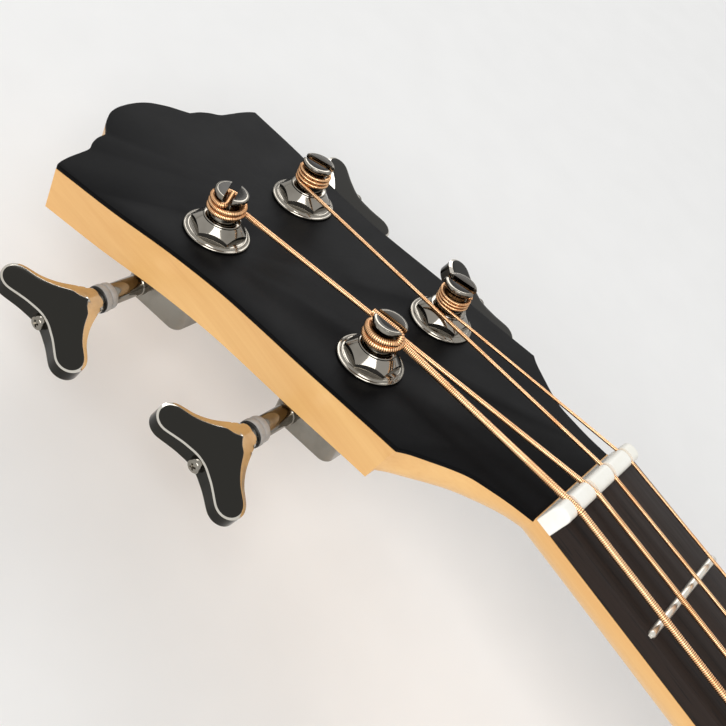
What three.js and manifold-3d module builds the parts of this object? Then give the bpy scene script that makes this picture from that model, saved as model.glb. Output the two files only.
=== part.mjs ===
// Four-string acoustic bass guitar lying on its flat back. Millimetres, +Z up out of the soundboard,
// +Y towards the headstock, +X towards the thinnest string. The origin is on the back's outer face,
// on the centre line, halfway along the body.

import * as THREE from 'three';
import * as BufferGeometryUtils from 'three/addons/utils/BufferGeometryUtils.js';
import Module from 'manifold-3d';

const wasm = await Module();
wasm.setup();

// Clearances shared by every fit
const gap = 0.3; // between pieces that curve or are cut by each other
const overrun = 4; // how far a cutting solid passes the face that it cuts
const weldDistance = 1e-4; // corners closer than this are one corner

// Strings and scale
const openStringLength = 603.25; // from the nut to the saddle, without compensation
const frets = 18;
const bodyFret = 14; // this fret lies over the edge of the body
const bridgeCompensation = 3;
const nutStringSpacing = 10.93;
const nutStringShift = 0.45; // the set of slots sits this far to the treble side
const bridgeStringSpacing = 18;
const stringHeightAtNut = 7.4; // underside of the strings over the neck's face
const stringHeightAtBridge = 11.4;

// Body
const bodyLength = 416;
const bodyDepth = 100;
const lowerBout = 350;
const waist = 218;
const upperBout = 262;
const plateThickness = 3;
const sideThickness = 2.4;
const bindingWidth = 1.6;
const bindingHeight = 6;
const liningWidth = 5;
const liningHeight = 14;
const soundHoleRadius = 45;
const soundHoleFromBoard = 11; // from the fingerboard's end to the hole's edge
const outlineSteps = 46;

// Blocks and braces inside the body
const neckBlockWidth = 76;
const neckBlockLength = 40;
const tailBlockWidth = 70;
const tailBlockLength = 20;
const tenonWidth = 18;
const tenonLength = 14;
const tenonDepth = 68;
const braceWidth = 8;
const braceHeight = 12;
const braceClear = 1.5;
const xBraceHoleClear = 1.9; // from the hole's edge to the crossed bars
const upperBraceWidth = 12;
const upperBraceHoleClear = 7;
const backBraceWidth = 9;
const backBraceHeight = 14;
const backStripWidth = 20;
const backStripHeight = 2.5;
const backBraceCount = 4;
const bridgePlateLength = 34;
const bridgePlateWidth = 100;
const bridgePlateThickness = 3;

// Bridge, saddle and pins
const bridgeLength = 152;
const bridgeWidth = 38;
const bridgeHeight = 8.5;
const bridgeWingHeight = 3.5;
const bridgeWingLength = 36;
const saddleSetback = 9; // saddle centre behind the bridge's front edge
const saddleThickness = 3;
const saddleLength = 78;
const saddleSeatDepth = 5;
const pinSetback = 17; // pins behind the saddle
const pinHeadRadius = 4;
const pinHeadHeight = 4.5;
const pinHeadEdge = 1.6;
const pinCrownRadius = 2.8;
const pinCrownHeight = 3.8;
const pinTipRadius = 2.2;
const pinShankRadius = 2.7;
const pinShankLength = 22;
const stringDropInSlot = 5;

// End pin
const endPinShaftRadius = 5;
const endPinWaistRadius = 4.5;
const endPinFlangeRadius = 8;
const endPinFlangeThickness = 2.5;
const endPinHeadRadius = 7.5;
const endPinHeadThickness = 4;
const endPinReach = 16;
const endPinWaistPlace = 8.2;

// Neck and heel
const nutWidth = 43;
const bodyFretWidth = 52.5;
const neckDepthAtNut = 14.2;
const neckDepthAtHeel = 17.5;
const heelFootAboveBack = 8; // the heel is cut flat here
const heelCurvePastFoot = 14; // how much deeper its curve would run
const heelFootLength = 10;
const heelLength = 66;
const neckSquareness = 2.2; // 2 is a round back, larger is boxier
const headSquareness = 7.3;
const trussWidth = 6;
const trussDepth = 6;
const trussFromNut = 14;
const trussNutRadius = 4.2;
const trussNutLength = 12;

// Fingerboard and nut
const boardThickness = 5.8;
const boardOverhang = 60; // beyond the body fret
const fretHeight = 1.1;
const fretWidth = 2.2;
const fretCrownWidth = 0.9;
const fretEdgeHeight = 0.4;
const fretSink = 0.6;
const fretInset = 0.4;
const nutThickness = 5.5;
const nutHeight = 8.9;
const nutRound = 2.4;
const slotSideClear = 0.5;

// Headstock
const headPitch = 14.2; // degrees
const headLength = 180.3;
const headHalfWidth = 43.1;
const headThickness = 15; // with the overlay
const overlayThickness = 1.5;
const flareStart = 36.8; // the sharp corner where the headstock begins
const flareHalfWidth = 36.8;

// Tuning machines, in each one's own frame: post axis on Z, headstock's face at zero
const lowerPostAside = 18.13; // from the centre line
const lowerPostFromNut = 62.2;
const upperPostAside = 20;
const upperPostFromTip = 58.95;
const postShift = 0.95; // the set of posts sits this far to the treble side
const postRadius = 4;
const postHeight = 14.9;
const postFlareRadius = 5;
const postFlareHeight = 2.2;
const postLipHeight = 1.3;
const postSlotWidth = 2.9;
const postSlotDepth = 4.6;
const washerRadius = 9.95;
const washerThickness = 1.4;
const washerEdge = 1;
const washerChamfer = 0.6;
const bellBaseAcross = 14.6;
const bellTopAcross = 10.4;
const bellHeight = 4.6;
const bellRimHeight = 1.4;
const bushingRadius = 6.4;
const wheelTeeth = 20;
const gearModule = 0.6;
const wheelThickness = 3.4;
const wormPitchRadius = 2.4;
const wormTipRadius = 2.85;
const wormRootRadius = 1.75;
const wormTurns = 3;
const wormStepsPerTurn = 6;
const threadBase = 0.8;
const threadTip = 0.4;
const wheelTipRadius = 6.35;
const wheelRootRadius = 5.1;
const wheelToothTip = 0.5;
const gearBelowBack = 6; // the worm's axis below the headstock's back
const gearRoom = 0.6;
const housingWall = 1.8;
const housingInner = 9.5; // from the post's axis towards the middle of the headstock
const housingOuter = 15.2; // from the post's axis towards the key
const housingNeckLength = 11.4;
const housingNeckRadius = 3.1;
const housingCorner = 3;
const shaftRadius = 1.7;
const stubRadius = 1.2; // the worm's tail
const collarLength = 4.4;
const collarRadius = 4.1;
const keyLength = 24.8;
const keyHollowShare = 0.825; // where the outer edge crosses the axis
const keySpan = 35;
const keyThickness = 4.6;
const keyBevel = 0.6;
const keyTilt = 18.5; // degrees, as the keys stand at rest
const keyHubRadius = 3.6;
const keyHubLength = 6;
const keyBossRadius = 2.25;
const keyBossReach = 1.1; // past the hollow of the outer edge
const screwHeadRadius = 2.1;
const screwHeadThickness = 1.9;

// Strings from the thickest: name, thickness, the post that it is wound on and its winding
const stringThicknessE = 2.15;
const stringThicknessA = 1.65;
const stringThicknessD = 1.25;
const stringThicknessG = 1;
const lowerPost = { x: lowerPostAside, y: lowerPostFromNut };
const upperPost = { x: upperPostAside, y: headLength - upperPostFromTip };
const strings = [
  { name: 'e', diameter: stringThicknessE, side: -1, post: lowerPost, turns: 1.708 },
  { name: 'a', diameter: stringThicknessA, side: -1, post: upperPost, turns: 2.5 },
  { name: 'd', diameter: stringThicknessD, side: 1, post: upperPost, turns: 3.125 },
  { name: 'g', diameter: stringThicknessG, side: 1, post: lowerPost, turns: 3.667 },
];
const windingSteps = 24;
const windingSides = 6;
const windingGap = 0.4;
const windingBelowTop = 2.5; // the string enters the slot this far under the post's top
const stringSides = 8;

// Worked-out places
const neckEdge = bodyLength / 2;
const bodyFretFromNut = openStringLength * (1 - 2 ** (-bodyFret / 12));
const nutPlace = new THREE.Vector3(0, neckEdge + bodyFretFromNut + nutThickness, bodyDepth);
const headTurn = THREE.MathUtils.degToRad(headPitch);
const topUnderside = bodyDepth - plateThickness;
const heelFootDepth = bodyDepth - heelFootAboveBack;
const heelDepth = heelFootDepth + heelCurvePastFoot;
const saddlePlace = nutPlace.y - nutThickness - openStringLength - bridgeCompensation;
const bridgeFront = saddlePlace + saddleSetback;
const pinPlace = saddlePlace - pinSetback;
const bridgeTop = bodyDepth + bridgeHeight;
const holePlace = neckEdge - boardOverhang - soundHoleFromBoard - soundHoleRadius;
const plateInset = bindingWidth + gap;
const liningInset = sideThickness + gap;
const innerInset = liningInset + liningWidth + braceClear;
const centreDistance = (wheelTeeth * gearModule) / 2 + wormPitchRadius;
const gearDepth = headThickness + gearBelowBack;
const housingEnd = housingOuter + housingNeckLength;
const collarInner = housingEnd + gap;
const keyInner = collarInner + collarLength + gap;
const keyOuter = keyInner + keyLength * keyHollowShare + keyBossReach;
const windingTop = postHeight - windingBelowTop;
const threadPitch = Math.PI * gearModule;
const wormReach = (wormTurns * threadPitch) / 2;

// Solids

function toSolid(geometry) {
  const bare = geometry.index ? geometry.toNonIndexed() : geometry.clone();
  for (const name of Object.keys(bare.attributes)) {
    if (name !== 'position') bare.deleteAttribute(name);
  }
  const merged = BufferGeometryUtils.mergeVertices(bare, weldDistance);
  const corners = merged.index.array;
  const kept = [];
  for (let i = 0; i < corners.length; i += 3) {
    const [a, b, c] = [corners[i], corners[i + 1], corners[i + 2]];
    if (a !== b && b !== c && c !== a) kept.push(a, b, c);
  }
  const vertProperties = new Float32Array(merged.attributes.position.array);
  return new wasm.Manifold(new wasm.Mesh({ numProp: 3, vertProperties, triVerts: new Uint32Array(kept) }));
}

function toGeometry(solid) {
  const { vertProperties, triVerts, numProp } = solid.getMesh();
  const geometry = new THREE.BufferGeometry();
  const positions = new Float32Array((vertProperties.length / numProp) * 3);
  for (let i = 0; i < positions.length / 3; i += 1) {
    positions[3 * i] = vertProperties[numProp * i];
    positions[3 * i + 1] = vertProperties[numProp * i + 1];
    positions[3 * i + 2] = vertProperties[numProp * i + 2];
  }
  geometry.setAttribute('position', new THREE.BufferAttribute(positions, 3));
  geometry.setIndex([...triVerts]);
  geometry.computeVertexNormals();
  return geometry;
}

function block(low, high) {
  const size = new THREE.Vector3().subVectors(high, low);
  const geometry = new THREE.BoxGeometry(size.x, size.y, size.z);
  geometry.translate((low.x + high.x) / 2, (low.y + high.y) / 2, (low.z + high.z) / 2);
  return toSolid(geometry);
}

function boxOver(x, y, z) {
  return block(new THREE.Vector3(x[0], y[0], z[0]), new THREE.Vector3(x[1], y[1], z[1]));
}

function prism(points, z) {
  return toSolid(slabGeometry(points, z[1] - z[0]).translate(0, 0, z[0]));
}

// A plate over an outline, standing on z = 0
function slabGeometry(points, depth) {
  return new THREE.ExtrudeGeometry(new THREE.Shape(points), { depth, bevelEnabled: false });
}

// A profile of lengthwise place and height, drawn out across the neck from a place on X
function acrossNeck(profile, from, width) {
  const geometry = slabGeometry(profile, width);
  geometry.rotateX(Math.PI / 2);
  geometry.rotateZ(Math.PI / 2);
  return toSolid(geometry.translate(from, 0, 0));
}

function turned(profile, segments) {
  const points = profile.map(([radius, height]) => new THREE.Vector2(radius, height));
  const geometry = new THREE.LatheGeometry(points, segments);
  geometry.rotateX(Math.PI / 2);
  return toSolid(geometry);
}

// A round bar from one point to another along an axis letter
function bar(axis, radius, from, to, at, segments = 20) {
  const geometry = new THREE.CylinderGeometry(radius, radius, to - from, segments);
  if (axis === 'x') geometry.rotateZ(Math.PI / 2);
  if (axis === 'z') geometry.rotateX(Math.PI / 2);
  const middle = (from + to) / 2;
  const centre = { x: [middle, at[0], at[1]], y: [at[0], middle, at[1]], z: [at[0], at[1], middle] }[axis];
  geometry.translate(...centre);
  return toSolid(geometry);
}

// Skin over a row of rings with as many points each, closed by a fan at both ends
function skin(rings) {
  const around = rings[0].length;
  const faces = [];
  for (let i = 0; i < rings.length - 1; i += 1) {
    for (let j = 0; j < around; j += 1) {
      const a = i * around + j;
      const b = i * around + ((j + 1) % around);
      faces.push(a, b, b + around, a, b + around, a + around);
    }
  }
  const last = (rings.length - 1) * around;
  for (let j = 1; j < around - 1; j += 1) {
    faces.push(0, j + 1, j, last, last + j, last + j + 1);
  }
  const geometry = facesOver(rings, faces);
  const solid = toSolid(geometry);
  return solid.volume() < 0 ? flipped(geometry) : solid;
}

function facesOver(rings, faces) {
  const positions = rings.flat().flatMap((p) => [p.x, p.y, p.z]);
  const geometry = new THREE.BufferGeometry();
  geometry.setAttribute('position', new THREE.Float32BufferAttribute(positions, 3));
  geometry.setIndex(faces);
  return geometry;
}

function flipped(geometry) {
  const index = geometry.index.array;
  for (let i = 0; i < index.length; i += 3) {
    [index[i + 1], index[i + 2]] = [index[i + 2], index[i + 1]];
  }
  return toSolid(geometry);
}

// Rings of a round tube through points, mitred at each bend
function tubeRings(points, radius, sides) {
  const rings = [];
  let across = new THREE.Vector3(1, 0, 0);
  points.forEach((point, i) => {
    const before = i > 0 ? point.clone().sub(points[i - 1]).normalize() : null;
    const after = i < points.length - 1 ? points[i + 1].clone().sub(point).normalize() : null;
    const along = before ?? after;
    const cut = (before && after ? before.clone().add(after) : along).clone().normalize();
    across = across.clone().addScaledVector(along, -across.dot(along)).normalize();
    const upward = new THREE.Vector3().crossVectors(along, across);
    const ring = [];
    for (let j = 0; j < sides; j += 1) {
      const angle = (2 * Math.PI * (j + 0.5)) / sides;
      const spoke = across.clone().multiplyScalar(Math.cos(angle) * radius);
      spoke.addScaledVector(upward, Math.sin(angle) * radius);
      spoke.addScaledVector(along, -spoke.dot(cut) / along.dot(cut));
      ring.push(point.clone().add(spoke));
    }
    rings.push(ring);
  });
  return rings;
}

function tube(points, radius, sides) {
  return skin(tubeRings(points, radius, sides));
}

const finishes = {
  spruce: { color: 0xd9b27a, roughness: 0.45, metalness: 0 },
  mahogany: { color: 0x6b3a22, roughness: 0.45, metalness: 0 },
  maple: { color: 0xdcb274, roughness: 0.4, metalness: 0 },
  cedar: { color: 0xc79a62, roughness: 0.8, metalness: 0 },
  ebony: { color: 0x1f1712, roughness: 0.55, metalness: 0 },
  black: { color: 0x111111, roughness: 0.4, metalness: 0 },
  cream: { color: 0xe8dcc0, roughness: 0.4, metalness: 0 },
  bone: { color: 0xeee6d2, roughness: 0.35, metalness: 0 },
  nickel: { color: 0xc9c9c6, roughness: 0.2, metalness: 1 },
  steel: { color: 0x8c8c8c, roughness: 0.4, metalness: 1 },
  bronze: { color: 0xb98a5a, roughness: 0.35, metalness: 1 },
  grey: { color: 0xb9b9b4, roughness: 0.5, metalness: 0 },
};

function piece(name, solid, finish) {
  const mesh = new THREE.Mesh(toGeometry(solid), new THREE.MeshStandardMaterial(finishes[finish]));
  mesh.name = name;
  return mesh;
}

// Body outline

// Half outline from tail to neck: share of the body's length, and share of the width named beside it
const outlineShares = [
  [0, 0, lowerBout],
  [0.011, 0.36, lowerBout],
  [0.075, 0.76, lowerBout],
  [0.27, 1, lowerBout],
  [0.44, 0.868, lowerBout],
  [0.53, 0.7, lowerBout],
  [0.615, 1, waist],
  [0.7, 0.895, upperBout],
  [0.825, 1, upperBout],
  [0.925, 0.84, upperBout],
  [0.985, 0.47, upperBout],
  [1, 0, upperBout],
];

function outlineCurve() {
  const right = outlineShares.map(([along, share, width]) => {
    return new THREE.Vector3((share * width) / 2, (along - 0.5) * bodyLength, 0);
  });
  const left = right.slice(1, -1).reverse().map((p) => new THREE.Vector3(-p.x, p.y, 0));
  return new THREE.CatmullRomCurve3([...right, ...left], true, 'centripetal');
}

const sharpestBend = 0.5; // the most that a bend lengthens an inset is one over this

const outlinePoints = outlineCurve().getSpacedPoints(outlineSteps).slice(0, outlineSteps);

// The body's outline moved inwards by a distance, point by point
function insetOutline(inset) {
  return outlinePoints.map((point, i) => {
    const next = outlinePoints[(i + 1) % outlineSteps];
    const previous = outlinePoints[(i + outlineSteps - 1) % outlineSteps];
    const into = point.clone().sub(previous).normalize();
    const out = next.clone().sub(point).normalize();
    const along = into.clone().add(out).normalize();
    const reach = inset / Math.max(along.dot(out), sharpestBend);
    return new THREE.Vector2(point.x - along.y * reach, point.y + along.x * reach);
  });
}

function slabInside(inset, z) {
  return prism(insetOutline(inset), z);
}

function ring(outer, inner, z) {
  const hole = slabInside(inner, [z[0] - overrun, z[1] + overrun]);
  return slabInside(outer, z).subtract(hole);
}

// Everything on one side of the centre line
function half(side) {
  const reach = lowerBout;
  const x = side < 0 ? [-reach, 0] : [0, reach];
  return boxOver(x, [-bodyLength, bodyLength], [-overrun, bodyDepth + overrun]);
}

// Body pieces

// How far the crossing point and the upper brace lie from the hole's centre
const crossing = (soundHoleRadius + xBraceHoleClear + braceWidth / 2) * Math.SQRT2;
const upperBrace = soundHoleRadius + upperBraceHoleClear + upperBraceWidth / 2;

const neckBlockY = [neckEdge - neckBlockLength, neckEdge];
const tailBlockY = [-neckEdge, tailBlockLength - neckEdge];
const innerZ = [plateThickness, topUnderside];

function tenonSpace(clear) {
  const x = [-tenonWidth / 2 - clear, tenonWidth / 2 + clear];
  return boxOver(x, [neckEdge - tenonLength - clear, neckEdge + overrun], [
    topUnderside - tenonDepth - clear,
    topUnderside,
  ]);
}

function endPinSpace() {
  const back = -neckEdge - overrun;
  const z = bodyDepth / 2;
  return bar('y', endPinShaftRadius + gap, back, tailBlockLength - neckEdge + overrun, [0, z]);
}

function blockSpace(width, y, clear) {
  return boxOver([-width / 2 - clear, width / 2 + clear], [y[0] - clear, y[1] + clear], [
    innerZ[0] - overrun,
    innerZ[1] + overrun,
  ]);
}

function makeTop() {
  const hole = bar('z', soundHoleRadius, topUnderside - overrun, bodyDepth + overrun, [0, holePlace], 36);
  return slabInside(plateInset, [topUnderside, bodyDepth]).subtract(hole).subtract(pinHoles());
}

function makeBack() {
  return slabInside(plateInset, [0, plateThickness]);
}

function makeSide(side) {
  const outerZ = [bindingHeight, bodyDepth - bindingHeight];
  const wall = ring(0, sideThickness, outerZ).add(ring(plateInset, sideThickness, innerZ));
  return wall.intersect(half(side)).subtract(tenonSpace(gap)).subtract(endPinSpace());
}

function makeNeckBlock() {
  const solid = boxOver([-neckBlockWidth / 2, neckBlockWidth / 2], neckBlockY, innerZ);
  const inside = slabInside(liningInset, innerZ);
  return solid.intersect(inside).subtract(tenonSpace(gap)).subtract(trussSpace());
}

function makeTailBlock() {
  const solid = boxOver([-tailBlockWidth / 2, tailBlockWidth / 2], tailBlockY, innerZ);
  return solid.intersect(slabInside(liningInset, innerZ)).subtract(endPinSpace());
}

function makeTopBinding() {
  const wide = tenonWidth / 2 + gap;
  const y = [neckEdge - tenonLength, neckEdge + overrun];
  const opening = boxOver([-wide, wide], y, [0, bodyDepth + overrun]);
  return ring(0, bindingWidth, [bodyDepth - bindingHeight, bodyDepth]).subtract(opening);
}

function makeLining(side, z) {
  return ring(liningInset, liningInset + liningWidth, z)
    .intersect(half(side))
    .subtract(blockSpace(neckBlockWidth, neckBlockY, gap))
    .subtract(blockSpace(tailBlockWidth, tailBlockY, gap));
}

// One long bar lying under the top, turned about its middle
function braceBar(length, width, z, turn, at) {
  const geometry = new THREE.BoxGeometry(length, width, z[1] - z[0]);
  geometry.rotateZ(turn);
  geometry.translate(at[0], at[1], (z[0] + z[1]) / 2);
  return toSolid(geometry);
}

function makeXBrace() {
  const z = [topUnderside - braceHeight, topUnderside];
  const at = [0, holePlace - crossing];
  const both = braceBar(bodyLength, braceWidth, z, Math.PI / 4, at).add(
    braceBar(bodyLength, braceWidth, z, -Math.PI / 4, at),
  );
  const lower = slabInside(innerInset, z).subtract(
    boxOver([-lowerBout, lowerBout], [holePlace + upperBrace - upperBraceWidth, bodyLength], z),
  );
  return both.intersect(lower).subtract(blockSpace(tailBlockWidth, tailBlockY, gap));
}

function makeUpperBrace() {
  const z = [topUnderside - braceHeight, topUnderside];
  const brace = braceBar(lowerBout, upperBraceWidth, z, 0, [0, holePlace + upperBrace]);
  return brace.intersect(slabInside(innerInset, z));
}

function makeBackBracing() {
  const z = [plateThickness, plateThickness + backBraceHeight];
  const stripY = [tailBlockY[1] + gap, neckBlockY[0] - gap];
  const stripX = [-backStripWidth / 2, backStripWidth / 2];
  let solid = boxOver(stripX, stripY, [plateThickness, plateThickness + backStripHeight]);
  for (let i = 0; i < backBraceCount; i += 1) {
    const y = stripY[0] + ((i + 0.5) / backBraceCount) * (stripY[1] - stripY[0]);
    const brace = braceBar(lowerBout, backBraceWidth, z, 0, [0, y]);
    solid = solid.add(brace.intersect(slabInside(innerInset, z)));
  }
  return solid;
}

// Bridge

function stringX(i, spacing, shift) {
  return (i - (strings.length - 1) / 2) * spacing + shift;
}

const pinBottom = bridgeTop - pinShankLength;

function pinHoles() {
  const holes = strings.map((_, i) => {
    const x = stringX(i, bridgeStringSpacing, 0);
    return bar('z', pinShankRadius + gap, pinBottom - overrun, bridgeTop + overrun, [x, pinPlace], 10);
  });
  return holes.reduce((all, hole) => all.add(hole));
}

// The string goes down just in front of its pin's head
function slotPlace(string) {
  return pinPlace + pinHeadRadius + gap + string.diameter / 2;
}

function makeBridge() {
  const end = bridgeLength / 2;
  const x = [-end, bridgeWingLength - end, end - bridgeWingLength, end];
  const profile = [
    new THREE.Vector2(x[0], 0),
    new THREE.Vector2(x[3], 0),
    new THREE.Vector2(x[3], bridgeWingHeight),
    new THREE.Vector2(x[2] + bridgeWingHeight, bridgeWingHeight),
    new THREE.Vector2(x[2], bridgeHeight),
    new THREE.Vector2(x[1], bridgeHeight),
    new THREE.Vector2(x[1] - bridgeWingHeight, bridgeWingHeight),
    new THREE.Vector2(x[0], bridgeWingHeight),
  ];
  const geometry = slabGeometry(profile, bridgeWidth);
  geometry.rotateX(Math.PI / 2);
  geometry.translate(0, bridgeFront, bodyDepth);
  let solid = toSolid(geometry).subtract(saddleBox(0, overrun)).subtract(pinHoles());
  strings.forEach((string, i) => {
    const middle = stringX(i, bridgeStringSpacing, 0);
    const wide = string.diameter / 2 + gap;
    const deep = [bridgeTop - stringDropInSlot - gap - string.diameter, bridgeTop + overrun];
    const reach = slotPlace(string) + string.diameter / 2 + gap;
    solid = solid.subtract(boxOver([middle - wide, middle + wide], [pinPlace, reach], deep));
  });
  return solid;
}

function saddleBox(clear, above) {
  const x = [-saddleLength / 2 - clear, saddleLength / 2 + clear];
  const y = [saddlePlace - saddleThickness / 2 - clear, saddlePlace + saddleThickness / 2 + clear];
  const top = bodyDepth + stringHeightAtBridge - gap + above;
  return boxOver(x, y, [bridgeTop - saddleSeatDepth, top]);
}

function makeBridgePlate() {
  const middle = (saddlePlace + pinPlace) / 2;
  const y = [middle - bridgePlateLength / 2, middle + bridgePlateLength / 2];
  const z = [topUnderside - bridgePlateThickness, topUnderside];
  return boxOver([-bridgePlateWidth / 2, bridgePlateWidth / 2], y, z).subtract(pinHoles());
}

function makePin(i) {
  const top = bridgeTop + pinHeadHeight;
  const solid = turned(
    [
      [0, pinBottom],
      [pinTipRadius, pinBottom],
      [pinShankRadius, bridgeTop],
      [pinHeadRadius, bridgeTop],
      [pinHeadRadius, bridgeTop + pinHeadEdge],
      [pinCrownRadius, bridgeTop + pinCrownHeight],
      [0, top],
    ],
    10,
  );
  return solid.translate([stringX(i, bridgeStringSpacing, 0), pinPlace, 0]);
}

function makeEndPin() {
  const flange = endPinFlangeThickness;
  const solid = turned(
    [
      [0, -tailBlockLength],
      [endPinShaftRadius, -tailBlockLength],
      [endPinShaftRadius, 0],
      [endPinFlangeRadius, 0],
      [endPinFlangeRadius, flange],
      [endPinWaistRadius, endPinWaistPlace],
      [endPinHeadRadius, endPinReach - endPinHeadThickness],
      [endPinHeadRadius, endPinReach],
      [0, endPinReach],
    ],
    12,
  );
  return solid.rotate([90, 0, 0]).translate([0, -neckEdge - gap, bodyDepth / 2]);
}

// Neck, in the frame of the nut: its back bottom edge at zero, the neck's face on z = 0

const boardEnd = -nutThickness - bodyFretFromNut - boardOverhang;
const boardTaper = (bodyFretWidth - nutWidth) / 2 / bodyFretFromNut;
const heelEnd = -nutThickness - bodyFretFromNut;

function boardHalfWidth(y) {
  return nutWidth / 2 + boardTaper * Math.max(-nutThickness - y, 0);
}

// D-shaped ring across the neck: squareness 2 is round, larger is boxier
function neckRing(y, halfWidth, top, depth, squareness) {
  const points = [];
  const steps = 12;
  for (let j = 0; j <= steps; j += 1) {
    const angle = (Math.PI * j) / steps;
    const c = Math.cos(angle);
    const s = Math.sin(angle);
    const x = halfWidth * Math.sign(c) * Math.abs(c) ** (2 / squareness);
    points.push(new THREE.Vector3(x, y, top - depth * Math.abs(s) ** (2 / squareness)));
  }
  return points;
}

// The flare from the nut to the headstock's corner: shares of its length and of its widening
const flareShares = [
  [0, 0],
  [0.2, 0.05],
  [0.39, 0.14],
  [0.52, 0.22],
  [0.65, 0.38],
  [0.8, 0.62],
  [0.93, 0.84],
  [1, 1],
];

// Heel beyond its foot: shares of its length, and of the extra depth that it has there
const heelShares = [
  [0, 0.96],
  [0.08, 0.74],
  [0.17, 0.5],
  [0.3, 0.27],
  [0.48, 0.11],
  [0.72, 0.03],
  [1, 0],
];

function neckDepth(y) {
  const share = (-nutThickness - y) / bodyFretFromNut;
  return neckDepthAtNut + (neckDepthAtHeel - neckDepthAtNut) * Math.min(Math.max(share, 0), 1);
}

function makeNeck() {
  const cornerY = flareStart * Math.cos(headTurn);
  const tan = Math.tan(headTurn);
  const headDepth = headThickness / Math.cos(headTurn);
  const rings = [];
  const heelTop = heelEnd - overrun;
  rings.push(neckRing(heelTop, boardHalfWidth(heelTop), 0, heelDepth, neckSquareness));
  heelShares.forEach(([along, share]) => {
    const y = heelEnd + heelFootLength + along * (heelLength - heelFootLength);
    const depth = neckDepth(y) + share * (heelDepth - neckDepth(y));
    rings.push(neckRing(y, boardHalfWidth(y), 0, depth, neckSquareness));
  });
  const shaft = 3;
  for (let i = 1; i <= shaft; i += 1) {
    const y = heelEnd + heelLength + (i / shaft) * (bodyFretFromNut + nutThickness - heelLength - overrun);
    rings.push(neckRing(y, boardHalfWidth(y), 0, neckDepth(y), neckSquareness));
  }
  flareShares.forEach(([along, share]) => {
    const y = along * cornerY;
    const halfWidth = nutWidth / 2 + share * (flareHalfWidth - nutWidth / 2);
    const depth = neckDepthAtNut + (headDepth - neckDepthAtNut) * Math.min(along * 2, 1);
    const squareness = neckSquareness + (headSquareness - neckSquareness) * along ** 2;
    rings.push(neckRing(y, halfWidth, -y * tan, depth, squareness));
  });
  const pastY = cornerY + overrun;
  rings.push(neckRing(pastY, flareHalfWidth - gap, -pastY * tan, headDepth - gap, headSquareness));
  let solid = skin(rings);
  const head = headSlab([-headThickness, 0]).rotate([-headPitch, 0, 0]);
  const behind = boxOver([-lowerBout, lowerBout], [-lowerBout, cornerY], [-lowerBout, lowerBout]);
  solid = solid.add(head.subtract(behind));
  const facing = boxOver([-lowerBout, lowerBout], [0, lowerBout], [-overlayThickness, lowerBout]);
  solid = solid.subtract(facing.rotate([-headPitch, 0, 0]));
  const underFoot = boxOver([-lowerBout, lowerBout], [-lowerBout - bodyLength, 0], [
    -heelDepth - overrun,
    -heelFootDepth,
  ]);
  solid = solid.subtract(underFoot);
  const body = slabInside(-gap, [-bodyDepth, overrun]).translate([0, -nutPlace.y, 0]);
  solid = solid.subtract(body);
  const tenon = tenonSpace(0).translate([0, -nutPlace.y, -nutPlace.z]);
  const inBody = [-bodyLength, heelEnd + overrun / 2];
  const reach = boxOver([-lowerBout, lowerBout], inBody, [-bodyDepth, bodyDepth]);
  solid = solid.add(tenon.intersect(reach));
  solid = solid.subtract(trussSpace().translate([0, -nutPlace.y, -nutPlace.z]));
  return postHoles(solid, bushingRadius + gap);
}

function headOutline() {
  // Shares of half width and of the length beyond the flare, up the side and then along the top
  const sideShares = [
    [flareHalfWidth / headHalfWidth, 0],
    [0.85, 0.0704],
    [0.848, 0.2336],
    [0.838, 0.3718],
    [0.838, 0.4472],
    [0.863, 0.5502],
    [0.889, 0.6143],
    [0.947, 0.7236],
    [1, 0.8794],
  ];
  const shoulderShares = [
    [1, 0.8794],
    [0.956, 0.885],
    [0.86, 0.8913],
    [0.756, 0.8948],
    [0.659, 0.8995],
    [0.592, 0.9133],
    [0.517, 0.9234],
    [0.422, 0.9284],
  ];
  const crownShares = [
    [0.422, 0.9284],
    [0.371, 0.9447],
    [0.318, 0.9623],
    [0.26, 0.9761],
    [0.195, 0.9887],
    [0.1, 0.9975],
    [0, 1],
  ];
  const beyond = headLength - flareStart;
  const sized = (shares) => shares.map(([across, along]) => {
    return new THREE.Vector2(across * headHalfWidth, flareStart + along * beyond);
  });
  const right = [
    ...new THREE.SplineCurve(sized(sideShares)).getPoints(7),
    ...new THREE.SplineCurve(sized(shoulderShares)).getPoints(7).slice(1),
    ...new THREE.SplineCurve(sized(crownShares)).getPoints(6).slice(1),
  ];
  const left = right.slice(0, -1).reverse().map((p) => new THREE.Vector2(-p.x, p.y));
  return [...right, ...left];
}

function headSlab(z) {
  const points = headOutline();
  const start = flareStart - overrun;
  const foot = [new THREE.Vector2(-points[0].x, start), new THREE.Vector2(points[0].x, start)];
  return prism([...foot, ...points], z);
}

function postX(side, post) {
  return side * post.x + postShift;
}

function postHoles(solid, radius) {
  let cut = solid;
  for (const side of [-1, 1]) {
    for (const post of [lowerPost, upperPost]) {
      const hole = bar('z', radius, -headThickness - overrun, overrun, [postX(side, post), post.y], 12);
      cut = cut.subtract(hole.rotate([-headPitch, 0, 0]));
    }
  }
  return cut;
}

function trussZ() {
  const middle = topUnderside - gap - trussNutRadius;
  return [middle - trussDepth / 2, middle + trussDepth / 2];
}

function trussEnd() {
  return neckBlockY[0] - trussNutLength / 2;
}

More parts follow.
